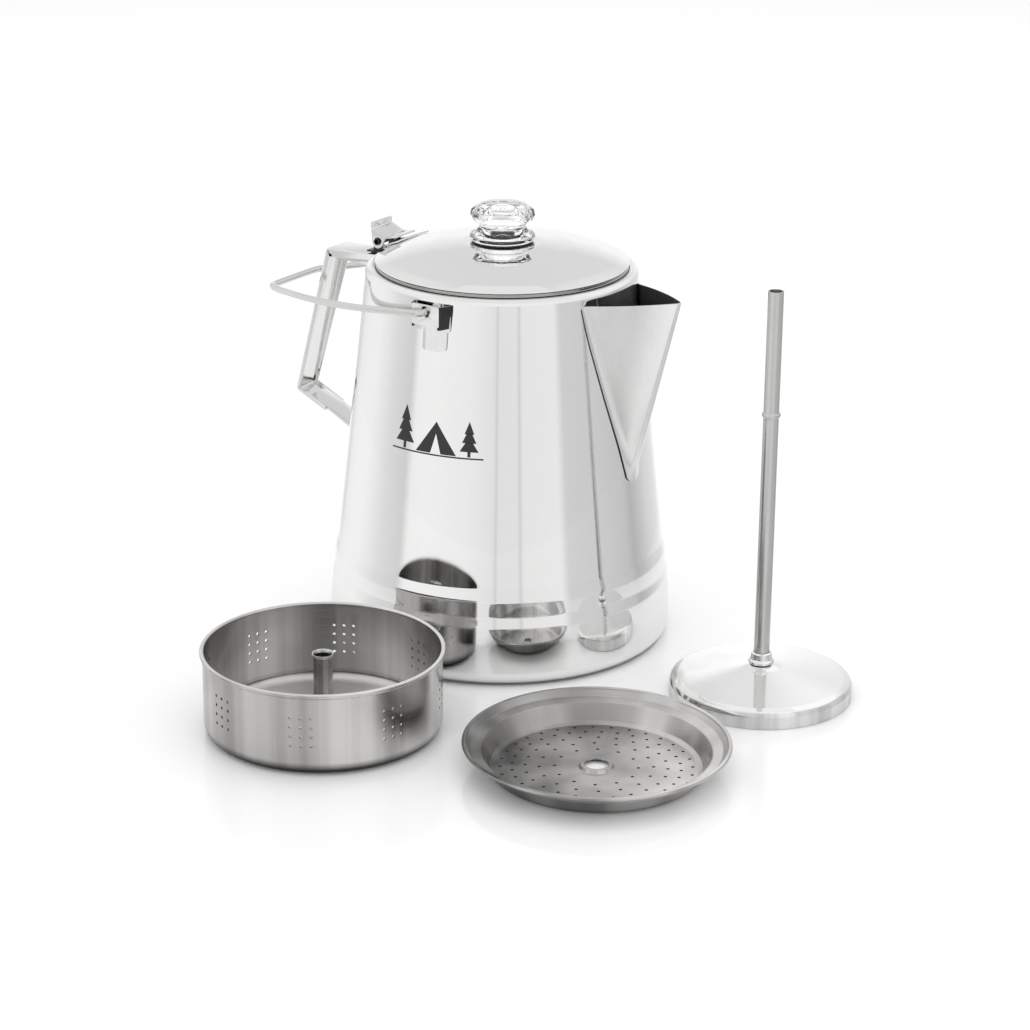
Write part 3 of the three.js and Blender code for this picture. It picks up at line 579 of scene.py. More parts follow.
def make_spout():
    """Sheet drawn as a height over the pot's cone, so that its foot blends into the welded margin."""
    heights = [113 + 6 * (1 - math.cos(math.radians(a))) for a in np.linspace(3, 90, 14)]
    heights += list(np.linspace(119, SPOUT_TOP_Z, 74)[1:])
    columns = [u * abs(u) ** 0.3 for u in np.linspace(-1, 1, 121)]
    verts = []
    for z in heights:
        t = (z - SPOUT_FOOT_Z) / (SPOUT_TOP_Z - SPOUT_FOOT_Z)
        nose, roll, bow, opening = (foot + change * t for foot, change in SPOUT_SECTION)
        opening = math.radians(opening)
        base = cone_radius(z) + SPOUT_SHEET - WELD_SINK
        half = flange_half(z)
        turn_y = roll * math.cos(opening)
        bow_x = nose - roll + (roll - bow) * math.sin(opening)
        bow_y = (roll - bow) * math.cos(opening)
        for u in columns:
            y = half * u
            a = abs(y)
            if a < turn_y:
                front = nose - roll + math.sqrt(roll * roll - a * a)
            else:
                front = bow_x + math.sqrt(max(bow * bow - (a - bow_y) ** 2, 0.0))
            back = math.sqrt(base * base - a * a)
            h = min(1.0, max(0.0, 0.5 + 0.5 * (front - back) / SPOUT_BLEND))
            x = back + (front - back) * h + SPOUT_BLEND * h * (1 - h)
            lift = max(0.0, (x - RISE_FROM) * SPOUT_RISE / RISE_RUN) * max(t, 0.0)
            verts.append((x, y, z + lift))
    spout = build("spout", verts, grid_faces(len(heights), len(columns)), brushed_spout, 60.0)
    # painted shade: the inner layer of the sheet takes the dark spout-inside steel
    spout.data.materials.append(spout_inside_shade)
    sheet_metal = spout.modifiers.new("sheet", "SOLIDIFY")
    sheet_metal.material_offset = 1
    sheet_metal.thickness = SPOUT_SHEET * MM
    sheet_metal.offset = -1.0
    apply_modifiers(spout)
    shade(spout, 50.0)

    # painted shade: the edge faces of the welded margin are near-black, a dark line along the pot's wall
    def margin_edge(at, normal):
        reach = math.hypot(at.x, at.y)
        sideways = abs(normal.x * at.x + normal.y * at.y) < 0.4 * reach
        return sideways and at.z < SPOUT_TOP_Z - 1.0 and reach < cone_radius(at.z) + 0.9

    return retouch(spout, shaded, margin_edge)


place_piece(make_spout(), "spout_shell", "pot", ["spout"])


# ---- handle ----

STRAP_W, STRAP_T = 20.0, 1.2
STRAP_PATH = [(-83.7, 227.0), (-125.2, 226.0, 3.2), (-151.0, 128.9, 3.0), (-128.4, 118.3)]


def path_frame(path):
    """Unit normals on the left-hand side of a polyline in XZ, mitred, with lengths along it."""
    points = np.array(path, float)
    steps = np.diff(points, axis=0)
    lengths = np.linalg.norm(steps, axis=1)
    steps = steps / lengths[:, None]
    normals = []
    for i in range(len(points)):
        a = steps[max(i - 1, 0)]
        b = steps[min(i, len(steps) - 1)]
        na, nb = np.array([-a[1], a[0]]), np.array([-b[1], b[0]])
        mean = (na + nb) / np.linalg.norm(na + nb)
        normals.append(mean / max(0.5, float(mean @ na)))
    return points, np.array(normals), np.concatenate([[0], np.cumsum(lengths)])


def swept(path, section_at, material, name):
    """Sweep a closed (y, inward) section along a path in XZ."""
    points, normals, along = path_frame(path)
    verts, faces = [], []
    for i, (p, nrm) in enumerate(zip(points, normals)):
        section = section_at(along[i] / along[-1])
        count = len(section)
        for y, inward in section:
            q = p + nrm * inward
            verts.append((q[0], y, q[1]))
    for i in range(len(points) - 1):
        for k in range(count):
            n = (k + 1) % count
            faces.append((i * count + k, (i + 1) * count + k, (i + 1) * count + n, i * count + n))
    faces += [tuple(range(count)), tuple(len(verts) - 1 - k for k in range(count))]
    return build(name, verts, faces, material)


def make_strap():
    path = rounded(STRAP_PATH, steps=7)
    half = STRAP_W / 2

    def section(t):
        lip = float(np.interp(t, [0, 0.17, 0.25, 0.31, 0.85, 1.0], [8.8, 4.8, 5.4, 7.0, 3.2, 3.0]))
        inner = half - STRAP_T
        return rounded([(-half, 0, 1.7), (-half, lip), (-inner, lip), (-inner, STRAP_T, 0.7),
                        (inner, STRAP_T, 0.7), (inner, lip), (half, lip), (half, 0, 1.7)], True, 4)

    return bevel(swept(path, section, strap_steel, "strap"), 0.3, 50.0)


def make_foot():
    lift = STRAP_T + GAP
    direction = np.array([16.0, -7.8]) / math.hypot(16.0, 7.8)
    inward = np.array([-direction[1], direction[0]])
    lap = [np.array(p) + inward * lift for p in ((-141, 124.6), (-127, 118))]
    path = rounded([tuple(lap[0]), tuple(lap[1]) + (6.0,), (-(cone_radius(104) + 1.2), 104.2)], steps=6)
    half = 8.5
    section = [(-half, 0), (-half, STRAP_T), (half, STRAP_T), (half, 0)]
    strip = swept(path, lambda t: section, sheet, "foot")
    verts = []
    rows, columns = np.linspace(84.2, 105.8, 12), np.linspace(-half, half, 13)
    for radius_add in (GAP, GAP + STRAP_T):
        for z in rows:
            for y in columns:
                r = cone_radius(z) + radius_add
                verts.append((-math.sqrt(r * r - y * y), y, z))
    pad = thin_patch("pad", verts, len(rows), len(columns), sheet)
    return bevel(boolean(strip, pad, "UNION"), 0.3)


place_piece(make_strap(), "handle_channel", "pot", ["handle_strap"])
place_piece(make_foot(), "handle_tie", "pot", ["handle_foot"])


# ---- hinge ----

def drill(obj, start, end, radius):
    return boolean(obj, rods([(start, end, radius, 28)], sheet), "DIFFERENCE")


def add_cheeks(body, outline, half, material):
    """Two upright cheeks, one along each side of a folded piece, drilled for the pin."""
    for low, high in ((-half, -half + CHEEK_T), (half - CHEEK_T, half)):
        boolean(body, prism(outline, low, high, material), "UNION")
    return drill(body, (PIN_X, -20, PIN_Z), (PIN_X, 20, PIN_Z), PIN_R + GAP)


def make_bracket():
    px, pz = PIN_X, PIN_Z
    lug = [(px - 4.2, 228.2), (px - 3.4, pz)] + arc((px, pz), 3.4, 172, 8, 14) + [
        (px + 3.4, pz), (px + 1.9, 229.5), (px + 1.2, 228.0)]
    half = LEVER_W / 2 - CHEEK_T - GAP
    plate = [(px - 9, 227.9), (px - 9, 228.9), (px + 1.3, 228.9), (px + 1.3, 227.9)]
    # painted shade: the whole clip is near-black steel, as it lies in shade under the lever
    return bevel(add_cheeks(prism(plate, -half, half, shaded), lug, half, shaded), 0.25)


def make_lever():
    def moved(points):
        return [(x + PIN_X, z + PIN_Z) for x, z in points]

    half = LEVER_W / 2
    plate = moved(rounded([
        (-4.9, 8.6), (-4.4, 7.2, 1.0), (6.3, 2.7, 3.0), (14.6, 4.4), (14.6, 5.6), (6.6, 4.0, 4.0),
        (-3.2, 8.2, 1.0), (-2.8, 11.4), (-4.5, 11.8)]))
    cheek = moved([(-4.5, 7.4)] + arc((0, 0), 4.2, 165, 345, 22) + [(5.6, 1.6), (6.3, 2.9)])
    lever = bevel(add_cheeks(prism(plate, -half, half, sheet), cheek, half, sheet), 0.28)
    inner = half - CHEEK_T + 0.05

    # painted shade: the lever's underside and the inner faces of its cheeks are near-black
    def hidden(at, normal):
        return abs(at.y) < inner and (normal.z < -0.5 or abs(normal.y) > 0.9)

    return retouch(lever, shaded, hidden)


def make_pin():
    half, bore = 11.0, PIN_R * 0.62
    profile = rounded([(bore, -half), (PIN_R, -half, 0.3), (PIN_R, half, 0.3), (bore, half)], True)
    # painted shade: the whole pin is near-black steel
    pin = lathe("pin", profile, shaded, 32)
    across = Matrix.Rotation(math.radians(90), 4, "X")
    pin.data.transform(Matrix.Translation((PIN_X * MM, 0, PIN_Z * MM)) @ across)
    return pin


place_piece(make_bracket(), "hinge_clip", "pot", ["hinge_bracket"])
place_piece(make_pin(), "hinge_tube", "pot", ["hinge_pin"])
place_piece(make_lever(), "thumb_lever", "lid", ["lid_lever"])


# ---- lid ----

LIP_FOOT = LID_Z - 0.2     # underside of the rolled lip
LID_EDGE = [(LID_R - 0.2, LIP_FOOT), (LID_R - 0.2, LID_Z + 1.5, 0.3), (LID_R - 1.1, LID_Z + 1.6, 0.2),
            (LID_R - 1.1, LID_Z + 1.9, 0.2), (LID_R, LID_Z + 2.0, 0.3)]
LID_TOP = [(LID_R, LID_Z + LID_LIP - 0.1, 0.6), (70.0, 238.1, 20), (58.0, 241.9, 40), (42.0, 245.0, 50),
           (24.0, LID_CROWN, 40), (LID_HOLE_R, LID_CROWN)]


def lid_height(radius):
    line = [p[:2] for p in LID_TOP][::-1]
    return float(np.interp(radius, [p[0] for p in line], [p[1] for p in line]))


def make_lid():
    top = rounded(LID_EDGE + LID_TOP, steps=8)
    inner = LID_R - 1.9
    under = rounded([(p[0], p[1] - LID_SHEET) + p[2:] for p in LID_TOP[:0:-1]] + [
        (inner, LID_Z + LID_LIP - 0.9, 0.5), (inner, LIP_FOOT)], steps=8)
    lid = lathe("lid", top + under, mirror, sharp=50.0)

    # painted shade: the lip's faces take the darker lip steel
    def on_lip(at, _):
        return math.hypot(at.x, at.y) > LID_R - 1.4 and at.z < LID_Z + 1.95

    return retouch(lid, lip_shade, on_lip)


def make_leaf():
    """Curved tongue of sheet that follows the lid under the lever."""
    rows, columns = np.linspace(-65.2, -74.2, 8), np.linspace(-16.9, 16.9, 25)
    verts = []
    for add in (GAP, GAP + 1.0):
        for x in rows:
            for y in columns:
                verts.append((x, y, lid_height(min(LID_R - 1, math.hypot(x, y))) + add))
    return bevel(thin_patch("leaf", verts, len(rows), len(columns), sheet), 0.25)


def make_knob():
    outside = rounded([
        (8.6, 240.6), (LID_HOLE_R - GAP, 240.6, 0.4), (LID_HOLE_R - GAP, LID_CROWN + 1.5, 0.4),
        (19.4, LID_CROWN + 1.5, 0.5), (19.8, 251.2, 1.4), (15.6, 253.4, 1.6), (13.8, 256.2, 1.8),
        (14.4, 259.2, 1.0), (17.9, 260.2, 0.8), (19.6, 263.4, 1.2), (18.9, 266.4, 1.0), (14.6, 269.2, 1.0),
        (11.0, KNOB_TOP, 0.8)], steps=5)
    inside = rounded([(0, KNOB_TOP), (0, 262.0), (6.2, 261.0, 1.6), (8.6, 257.0, 2.0), (8.6, 240.6)], steps=5)

    def facets(angle, r, z):
        """Twelve shallow flats around the head, fading out over 2 mm at its foot and its top."""
        if r <= 12:
            return r
        share = max(0.0, min(1.0, (z - 257.5) / 2.0)) * max(0.0, min(1.0, (KNOB_TOP - z) / 2.0))
        return r - share * 0.55 * (1 - abs(math.cos(6 * angle)))

    return lathe("knob", outside + inside, glass, 144, sharp=45.0, swell=facets)


def make_seal():
    low, high = LID_CROWN + GAP, LID_CROWN + 1.5 - GAP
    profile = rounded([(12.4, low), (SEAL_R, low, 0.35), (SEAL_R, high, 0.35), (12.4, high)], True)
    return lathe("seal", profile, rubber, 96)


place_piece(make_lid(), "lid_shell", "lid", ["lid_dome"])
place_piece(make_leaf(), "lid_tongue", "lid", ["lid_leaf"])
place_piece(make_knob(), "knob_clear", "lid", ["knob_glass"])
place_piece(make_seal(), "knob_ring", "lid", ["knob_seal"])


# ---- bail ----

def cone_blank(name, add):
    """Solid that fills the pot's upper wall, larger by add."""
    return lathe(name, [(0, 190), (cone_radius(190) + add, 190), (cone_radius(225) + add, 225),
                        (RIM_R + add, 228), (RIM_R + add, 240), (0, 240)], sheet, 256)


def cone_patch(outline, side, low, high):
    """Sheet that follows the pot's cone over an (x, z) outline, on the near (-1) or far (1) side."""
    body = prism(outline, *sorted((side * 60, side * 100)), sheet)
    boolean(body, cone_blank("outer", high), "INTERSECT")
    return boolean(body, cone_blank("inner", low), "DIFFERENCE")


def make_ear(side):
    low, high = EAR_X - EAR_W / 2, EAR_X + EAR_W / 2
    outer, (z0, z1) = EAR_PLATE_Y, EAR_PLATE_Z
    face = rounded([(low, z0, 1.0), (high, z0, 1.0), (high, z1, 1.0), (low, z1, 1.0)], True)
    body = prism(face, *sorted((side * outer, side * (outer - 1.2))), sheet)
    # painted shade: the side walls are near-black steel
    for x, out in ((low, -1), (high, 1)):
        wall = [(x, outer - 0.02), (x - out * 1.2, outer - 0.02), (x + out * (EAR_FLARE - 1.4), 79.0),
                (x + out * EAR_FLARE, 79.0), (x + out * 0.9, outer - 1.2)]
        boolean(body, upright([(a, side * b) for a, b in wall], z0 - 1.6, z1 - 0.2, shaded), "UNION")
    inner, (p0, p1) = z0 - 3.6, EAR_PAD
    outline = rounded([
        (p0, 200.6, 3.0), (p1, 200.6, 3.0), (p1, inner - 0.6), (high + 3.2, inner), (high + 3.2, 221.8),
        (low - 3.2, 221.8), (low - 3.2, inner), (p0, inner - 0.6)], True)
    boolean(body, cone_patch(outline, side, GAP, GAP + 1.2), "UNION")
    boolean(body, cone_blank("plug", GAP), "DIFFERENCE")
    drill(body, (EAR_X, side * 84, EAR_HOLE_Z), (EAR_X, side * 105, EAR_HOLE_Z), EAR_HOLE_R)
    return bevel(body, 0.25)


def smooth_path(points, per):
    """Centripetal Catmull-Rom curve through the points, with so many steps between each two."""
    p = [np.array(q, float) for q in points]
    p = [2 * p[0] - p[1]] + p + [2 * p[-1] - p[-2]]
    result = []
    for i in range(1, len(p) - 2):
        quad = p[i - 1:i + 3]
        knots = [0.0]
        for a, b in zip(quad, quad[1:]):
            knots.append(knots[-1] + max(1e-6, np.linalg.norm(b - a) ** 0.5))
        for s in range(per):
            t = knots[1] + (knots[2] - knots[1]) * s / per
            level = quad
            for width in (1, 2, 3):
                ends = [(knots[k], knots[k + width]) if width < 3 else knots[1:3] for k in range(4 - width)]
                level = [level[k] * (b - t) / (b - a) + level[k + 1] * (t - a) / (b - a)
                         for k, (a, b) in enumerate(ends)]
            result.append(level[0])
    result.append(p[-2])
    return result


def tube_along(points, radius, sides, material, name):
    """Round wire along a path, with its ends chamfered."""
    points = [Vector(p) for p in points]
    previous = (points[1] - points[0]).normalized()
    side = previous.orthogonal().normalized()
    rings = []
    for i, p in enumerate(points):
        ahead = (points[min(i + 1, len(points) - 1)] - points[max(i - 1, 0)]).normalized()
        side = previous.rotation_difference(ahead) @ side
        previous = ahead
        rings.append((p, side.copy(), ahead.cross(side), 1.0, 0.0))
    rings = [rings[0][:3] + (0.6, -0.5)] + rings + [rings[-1][:3] + (0.6, 0.5)]
    verts = []
    for p, u, v, scale, push in rings:
        axis = u.cross(v)
        for s in range(sides):
            a = 2 * math.pi * s / sides
            verts.append(tuple(p + axis * push + (u * math.cos(a) + v * math.sin(a)) * radius * scale))
    faces = []
    for i in range(len(rings) - 1):
        for s in range(sides):
            n = (s + 1) % sides
            faces.append((i * sides + s, i * sides + n, (i + 1) * sides + n, (i + 1) * sides + s))
    faces += [tuple(range(sides - 1, -1, -1)), tuple(len(verts) - sides + s for s in range(sides))]
    return build(name, verts, faces, material, 50.0)


def make_bail():
    reach, drop, bar, bow, clear = 163.6, 25.0, 27.0, 10.0, 1.9
    out = EAR_PLATE_Y + WIRE_R + clear
    half = [(0, -out + 7.6, 0), (0, -out + 2.6, 0), (-0.7, -out + 0.7, -0.1), (-3.0, -out, -0.5)]
    steps = 10
    for i in range(1, steps + 1):
        t = i / (steps + 0.6)
        y = -out + (out - bar) * t - bow * math.sin(math.pi * t)
        half.append((-3 - (reach - 6) * t, y, -0.5 - (drop - 0.5) * t))
    half += [(-reach + 3.2, -bar + 0.6, -drop + 0.5), (-reach + 0.6, -bar + 4.4, -drop + 0.1),
             (-reach, -bar + 8.5, -drop)]
    points = half + [(x, -y, z) for x, y, z in reversed(half)]
    placed = [(x + EAR_X, y, z + EAR_HOLE_Z) for x, y, z in points]
    return tube_along(smooth_path(placed, 7), WIRE_R, 20, wire, "bail")


place_piece(make_ear(-1), "ear_front", "pot", ["ear_near"])
place_piece(make_ear(1), "ear_back", "pot", ["ear_far"])
place_piece(make_bail(), "bail_loop", "bail", ["bail_wire"])


# ---- filter basket ----

HOLE_COLUMNS = [26.25 + group * 45 + column * 4.9 for group in range(8) for column in (-1, 0, 1)]
HOLE_ROWS = [18.5 + row * 5.6 for row in range(4)]


def make_basket():
    t, height = 0.8, 49.9
    outside = [(6.0, 0), (61.5, 0)] + arc((61.5, 7.2), 7.2, -75, 0, 9) + [(68.7, height - 3.4)]
    bead = arc((69.0, height - 1.3), 1.3, -60, 180, 16)
    inside = [(67.9, height - 3.0)] + arc((61.5, 7.2), 6.4, 0, -78, 9) + [(61.0, t), (6.0, t)]
    basket = lathe("basket", outside + bead + inside, turned_basket, 256, BASKET_AT, 40.0)
    drills = []
    for column in HOLE_COLUMNS:
        c, s = math.cos(math.radians(column)), math.sin(math.radians(column))
        for z in HOLE_ROWS:
            ends = [(BASKET_AT[0] + r * c, BASKET_AT[1] + r * s, z) for r in (65, 72)]
            drills.append((*ends, 0.95, 12))
    # the holes' walls take the painted hole shade
    return boolean(basket, rods(drills, hole_shade), "DIFFERENCE", 40.0)


def make_basket_tube():
    r, bore, top = 5.7, 5.0, 46.0
    profile = rounded([
        (bore, 0), (r, 0), (r, 1.1), (r + 1.0, 1.1, 0.2), (r + 1.0, 2.2, 0.5), (r, 2.8, 0.4),
        (r, top - 2.0, 1.0), (6.4, top - 0.3, 0.3), (6.2, top, 0.3), (bore + 0.5, top - 0.4, 0.3),
        (bore, top - 1.8, 0.5)], True)
    return lathe("tube", profile, drawn_basket_tube, 64, BASKET_AT)


place_piece(make_basket(), "basket_shell", "basket", ["basket_cup"])
place_piece(make_basket_tube(), "basket_sleeve", "basket", ["basket_tube"])


# ---- spreader plate ----

# radius, number of holes, angle of the first one
SPREADER_ROWS = [(54.0, 32, 0), (47.5, 32, 5.6), (40.0, 24, 0), (32.0, 16, 11.2), (23.5, 12, 0)]


def make_spreader():
    t, radius, height = 0.8, 75.6, 17.4
    lower = rounded([(6.9, 1.9), (8.4, 1.9, 0.5), (9.4, 0.0, 0.6), (57.5, 0.0, 2.0), (60.5, 1.6, 2.0),
                     (65.6, 11.2, 1.6), (71.2, 12.2, 1.6), (73.4, 15.4, 1.0)])
    edge = arc((radius - 1.3, height - 1.3), 1.3, -30, 170, 14)
    upper = rounded([(72.6, 15.9), (70.6, 13.1, 1.6), (64.8, 12.1, 1.6), (59.4, 2.2, 2.0), (57.0, t, 2.0),
                     (10.2, t, 0.6), (8.9, 1.9 + t, 0.5), (6.9, 1.9 + t)])
    plate = lathe("plate", lower + edge + upper, turned_spreader, 256, SPREADER_AT, 40.0)
    drills = []
    for ring, count, phase in SPREADER_ROWS:
        for k in range(count):
            a = math.radians(phase + k * 360 / count)
            x, y = SPREADER_AT[0] + ring * math.cos(a), SPREADER_AT[1] + ring * math.sin(a)
            drills.append(((x, y, -2), (x, y, 4), 1.0, 12))
    # the holes' walls take the painted hole shade
    return boolean(plate, rods(drills, hole_shade), "DIFFERENCE", 40.0)


place_piece(make_spreader(), "spreader_dish", "spreader", ["spreader_plate"])


# ---- pump stem ----

def make_bell():
    r, h, bore = 54.1, 11.4, 4.9
    profile = rounded([
        (bore, 20.2), (12.0, 18.0, 6), (r - 4.5, h + 0.2, 5), (r - 1.2, h - 1.2, 2.0), (r, h - 4.0, 1.5),
        (r, 0), (r - 1.0, 0), (r - 1.0, h - 4.2, 1.2), (r - 5.0, h - 0.8, 4.0), (12.0, 17.0, 6),
        (bore, 19.2)], True)
    return lathe("bell", profile, mirror_stem, FINE, STEM_AT, 40.0)


def make_collar():
    r = 4.9
    profile = rounded([
        (r, 20.6), (7.6, 20.0, 0.3), (7.8, 21.4, 0.5), (6.4, 22.6, 0.8), (6.0, 26.0, 0.4), (r, 26.6)], True)
    return lathe("collar", profile, mirror_stem, 64, STEM_AT)


def make_stem_tube():
    r, bore, top, bead = 4.6, 3.8, 247.3, 174.0
    profile = rounded([
        (bore, 17.0), (r, 17.0), (r, bead - 2.0, 0.6), (r + 0.9, bead - 0.8, 0.5), (r + 0.9, bead + 0.4, 0.5),
        (r, bead + 1.4, 0.6), (r, top, 0.25), (bore, top, 0.25)], True)
    return lathe("stem", profile, drawn_tube, 64, STEM_AT)


place_piece(make_bell(), "bell_dome", "stem", ["stem_bell"])
place_piece(make_collar(), "bell_collar", "stem", ["stem_collar"])
place_piece(make_stem_tube(), "stem_pipe", "stem", ["stem_tube"])


# ---- printed pictogram ----

def make_pictogram():
    """Generic camp print on the pot's side: a tent between two firs on a line of ground."""
    verts, faces = [], []
    middle, base_z = math.radians(-81.5), 139.0
    wrap, clear, columns = 90.0, 0.09, 9      # radius that widths wrap around, height over the wall

    def span(v0, v1, left, right):
        """Patch between two heights, from left(v) to right(v) across."""
        rows = max(2, int(abs(v1 - v0) / 0.6) + 1)
        start = len(verts)
        for i in range(rows + 1):
            v = v0 + (v1 - v0) * i / rows
            a, b = left(v), right(v)
            z = base_z + v
            r = cone_radius(z) + clear
            for k in range(columns):
                angle = middle + (a + (b - a) * k / (columns - 1)) / wrap
                verts.append((r * math.cos(angle), r * math.sin(angle), z))
        faces.extend(grid_faces(rows + 1, columns, start))

    def fir(x, height, width):
        span(0.9, height * 0.18, lambda v: x - 0.9, lambda v: x + 0.9)
        for k in range(3):
            low, wide = height * (0.18 + 0.24 * k), width * (1 - 0.24 * k)
            high, narrow = (height * (0.18 + 0.24 * (k + 1)), wide * 0.42) if k < 2 else (height, 0.0)

            def half(v):
                return wide + (narrow - wide) * (v - low) / (high - low)

            span(low, high, lambda v: x - half(v), lambda v: x + half(v))

    fir(-21.0, 27.0, 6.6)
    fir(20.5, 22.0, 5.6)
    peak, door, side, gap = 20.0, 13.0, 13.5, 3.6      # the tent: heights, then half widths

    def slope(v):
        return side * (peak - v) / peak

    def flap(v):
        return gap * max(0.0, door - v) / door

    span(0.9, peak, lambda v: -slope(v), lambda v: -flap(v))
    span(0.9, peak, flap, slope)
    span(-0.5, 0.4, lambda v: -30.0, lambda v: 29.0)
    mark = build("mark", verts, faces, ink, 60.0)
    thick = mark.modifiers.new("thick", "SOLIDIFY")
    thick.thickness = 0.05 * MM
    thick.offset = -1.0
    return apply_modifiers(mark)


place_piece(make_pictogram(), "camp_print", "pot", [])


# ---- room, light and camera ----

FLOOR_LIFT = 0.06          # light added to the floor as the camera sees it, like a lit table
FLOOR_TONE = 0.93
FLOOR_SIZE = 5000          # millimetres from the middle to each side
POT_MEAN_R = 0.095         # metres
ROOM = 0.66                # radius of the light tent's wall around the pot, metres
WALL_HIGH = 1.3            # metres
# tone of the tent by bearing in degrees: panels with seams between them, and plainer ones higher up
TENT_LOW = [
    (-180, 1.0), (-166, 1.0), (-157, 0.72), (-146, 0.90), (-132, 0.955), (-116, 0.955), (-104, 0.88),
    (-92, 0.77), (-74, 0.68), (-68, 0.94), (-55, 0.96), (-23, 0.91), (-8, 0.84), (-4.5, 0.82), (-3, 0.66),
    (-1.5, 0.82), (12.5, 0.83), (14.2, 0.66), (16, 0.86), (43, 0.89), (48.5, 0.68), (80, 0.64), (100, 0.58),
    (108, 0.49), (115, 0.55), (130, 0.70), (152, 0.81), (166, 1.0), (180, 1.0)]
TENT_HIGH = [(-180, 0.75), (-166, 0.77), (-148, 0.94), (-90, 0.90), (0, 0.94), (90, 0.90), (120, 0.97),
             (148, 0.96), (166, 0.76), (180, 0.75)]


def reach_of(graph, x, y):
    """Distance from the pot's axis, never less than the pot's own radius."""
    return graph.math("MAXIMUM", distance_out(graph, x, y), POT_MEAN_R)


def bearing_of(graph, x, y):
    """The turn about the pot that its side mirrors this spot from: 0 to 1, with 0.5 at CAMERA_AZIMUTH."""
    s, c = math.sin(math.radians(CAMERA_AZIMUTH)), math.cos(math.radians(CAMERA_AZIMUTH))
    toward = graph.math("ADD", graph.math("MULTIPLY", x, s), graph.math("MULTIPLY", y, -c))
    right = graph.math("ADD", graph.math("MULTIPLY", x, c), graph.math("MULTIPLY", y, s))
    bearing = graph.math("ARCTAN2", right, toward)
    away = graph.math("DIVIDE", POT_MEAN_R, reach_of(graph, x, y))
    turn = bearing
    for _ in range(2):
        half = graph.math("SINE", graph.math("MULTIPLY", turn, 0.5))
        turn = graph.math("ADD", bearing, graph.math("ARCSINE", graph.math("MULTIPLY", away, half)))
    return graph.scaled(turn, 0.0, 1.0, -math.pi, math.pi)


def tones_at(graph, x, y, table):
    return graph.ramp(bearing_of(graph, x, y), [((a + 180.0) / 360.0, tone) for a, tone in table])


def mix(graph, share, first, second):
    return graph.add("ShaderNodeMixRGB", {"Fac": share, "Color1": first, "Color2": second}).outputs[0]


def make_floor():
    """Pale floor. Seen in the steel it carries on the tones of the tent, beyond a white patch by the pot.
    Its own gloss fades out with distance, so that the tent's foot is not seen in it."""
    d = FLOOR_SIZE
    verts = [(-d, -d, -0.2), (d, -d, -0.2), (d, d, -0.2), (-d, d, -0.2)]
    material, graph, shader = new_material("floor_pale")
    x, y, _ = graph.split(graph.coords("Object"))
    ray = graph.add("ShaderNodeLightPath").outputs
    reach = reach_of(graph, x, y)
    mirrored = graph.math("MULTIPLY", ray["Is Glossy Ray"], graph.scaled(reach, 0.0, 1.0, 0.19, 0.30))
    pale = (FLOOR_TONE, FLOOR_TONE, FLOOR_TONE, 1.0)
    toned = graph.dimmed(tones_at(graph, x, y, TENT_LOW), FLOOR_TONE)
    graph.feed(shader.inputs["Base Color"], mix(graph, mirrored, pale, toned))
    shader.inputs["Roughness"].default_value = 0.12
    graph.feed(shader.inputs["Specular IOR Level"], graph.scaled(reach, 0.6, 0.0, 0.36, 0.60))
    shader.inputs["Emission Color"].default_value = (1.0, 1.0, 1.0, 1.0)
    lift = graph.math("MULTIPLY", ray["Is Camera Ray"], FLOOR_LIFT)
    graph.feed(shader.inputs["Emission Strength"], lift)
    build("floor", verts, [(0, 1, 2, 3)], material)


def make_tent():
    """Wall of a light tent: it only shows in reflections."""
    sides = 180
    verts = []
    for z in (0.0, WALL_HIGH):
        for k in range(sides):
            a = 2 * math.pi * k / sides
            verts.append((ROOM * 1000 * math.cos(a), ROOM * 1000 * math.sin(a), z * 1000))
    faces = [(k, (k + 1) % sides, sides + (k + 1) % sides, sides + k) for k in range(sides)]
    material, graph, shader = new_material("tent_wall")
    graph.tree.nodes.remove(shader)
    x, y, z = graph.split(graph.coords("Object"))
    low, high = (tones_at(graph, x, y, table) for table in (TENT_LOW, TENT_HIGH))
    tones = mix(graph, graph.scaled(z, 0.0, 1.0, 0.34, 0.50), low, high)
    glow = graph.add("ShaderNodeEmission", {"Color": tones, "Strength": 1.0}).outputs[0]
    inside = graph.add("ShaderNodeNewGeometry").outputs["Backfacing"]
    clear = graph.add("ShaderNodeBsdfTransparent").outputs[0]
    skin = graph.add("ShaderNodeMixShader", {0: inside, 1: clear, 2: glow}).outputs[0]
    graph.feed(graph.tree.nodes["Material Output"].inputs["Surface"], skin)
    tent = build("tent", verts, faces, material)
    for ray in ("camera", "diffuse", "transmission", "shadow", "volume_scatter"):
        setattr(tent, "visible_" + ray, False)


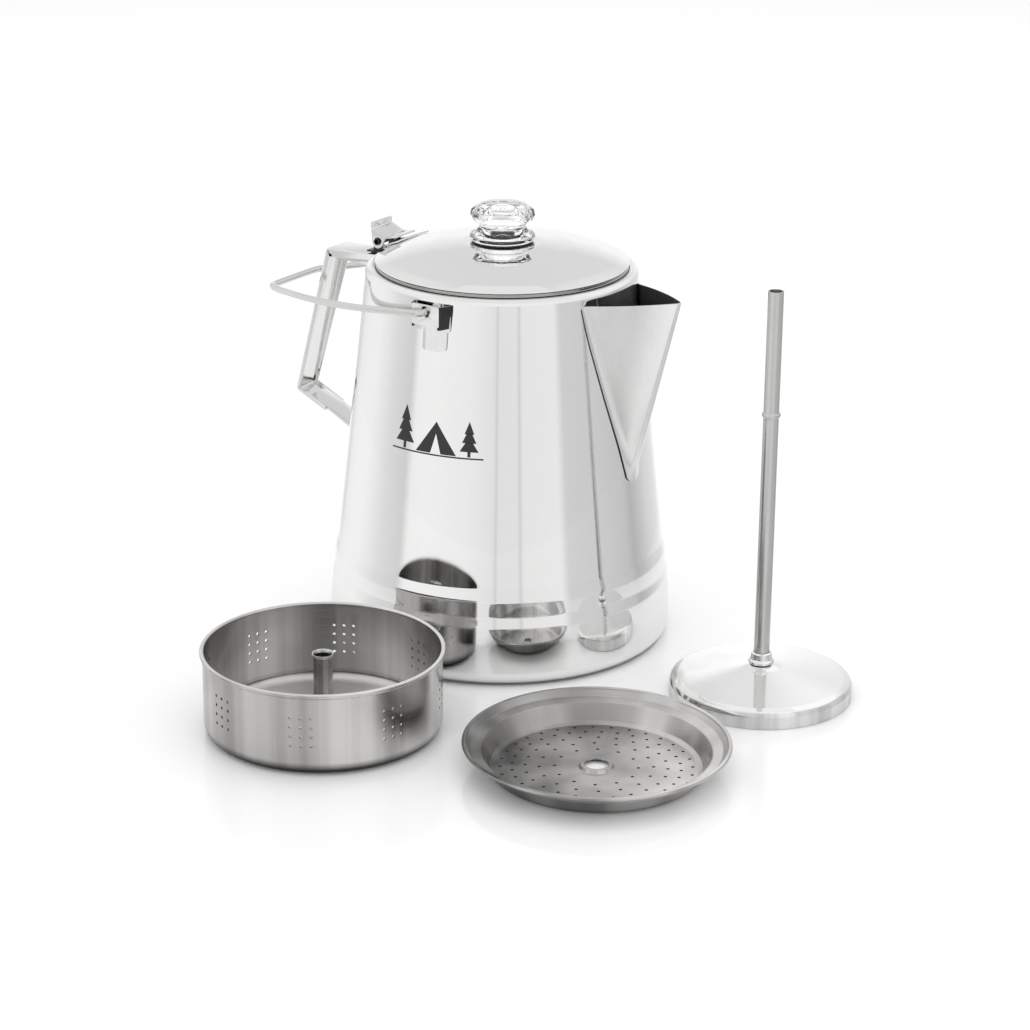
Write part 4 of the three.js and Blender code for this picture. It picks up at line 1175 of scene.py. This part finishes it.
def make_world():
    """Pale, even room; it is a little darker overhead than round about."""
    world = bpy.data.worlds.new("room")
    scene.world = world
    world.use_nodes = True
    graph = Graph(world.node_tree)
    up = graph.split(graph.coords("Generated"))[2]
    tones = graph.ramp(up, [(0.0, 1.0), (0.30, 0.98), (0.62, 0.88), (1.0, 0.84)])
    seen = graph.add("ShaderNodeLightPath").outputs["Is Camera Ray"]
    colour = mix(graph, seen, tones, (1.02, 1.02, 1.02, 1.0))
    graph.feed(world.node_tree.nodes["Background"].inputs["Color"], colour)


make_floor()
make_tent()
make_world()


def soft_box(name, at, aim, size, power, glossy):
    data = bpy.data.lights.new(name, "AREA")
    data.shape = "RECTANGLE"
    data.size, data.size_y = size
    data.energy = power
    lamp = bpy.data.objects.new(name, data)
    scene.collection.objects.link(lamp)
    lamp.location = at
    lamp.rotation_euler = (Vector(aim) - Vector(at)).to_track_quat("-Z", "Y").to_euler()
    lamp.visible_camera = False
    lamp.visible_glossy = glossy


soft_box("fill_overhead", (0.2, -0.3, 1.7), (0.1, -0.1, 0), (2.6, 2.6), 10.5, False)
soft_box("fill_behind", (-0.9, 1.5, 1.2), (0.0, 0.2, 0), (2.4, 1.6), 3.0, False)


def make_camera():
    """The camera that was solved from the photo, turned about the pot to CAMERA_AZIMUTH."""
    focal, pitch, roll = 2900.0, math.radians(20.01), math.radians(0.51)
    data = bpy.data.cameras.new("camera")
    data.sensor_width = 36.0
    data.lens = 36.0 * focal / 1030.0
    data.clip_start, data.clip_end = 0.05, 50.0
    camera = bpy.data.objects.new("camera", data)
    scene.collection.objects.link(camera)
    forward = Vector((0, math.cos(pitch), -math.sin(pitch)))
    across = Vector((1, 0, 0))
    up = across.cross(forward)
    c, s = math.cos(roll), math.sin(roll)
    across, up = c * across + s * up, c * up - s * across
    turn = Matrix.Rotation(math.radians(CAMERA_AZIMUTH), 3, "Z")
    axes = Matrix((across, up, -forward)).transposed()
    place_at = turn @ Vector((0.0090, -1.6940, 0.6884))
    camera.matrix_world = Matrix.Translation(place_at) @ (turn @ axes).to_4x4()
    scene.camera = camera


make_camera()
scene.view_settings.view_transform = "Standard"
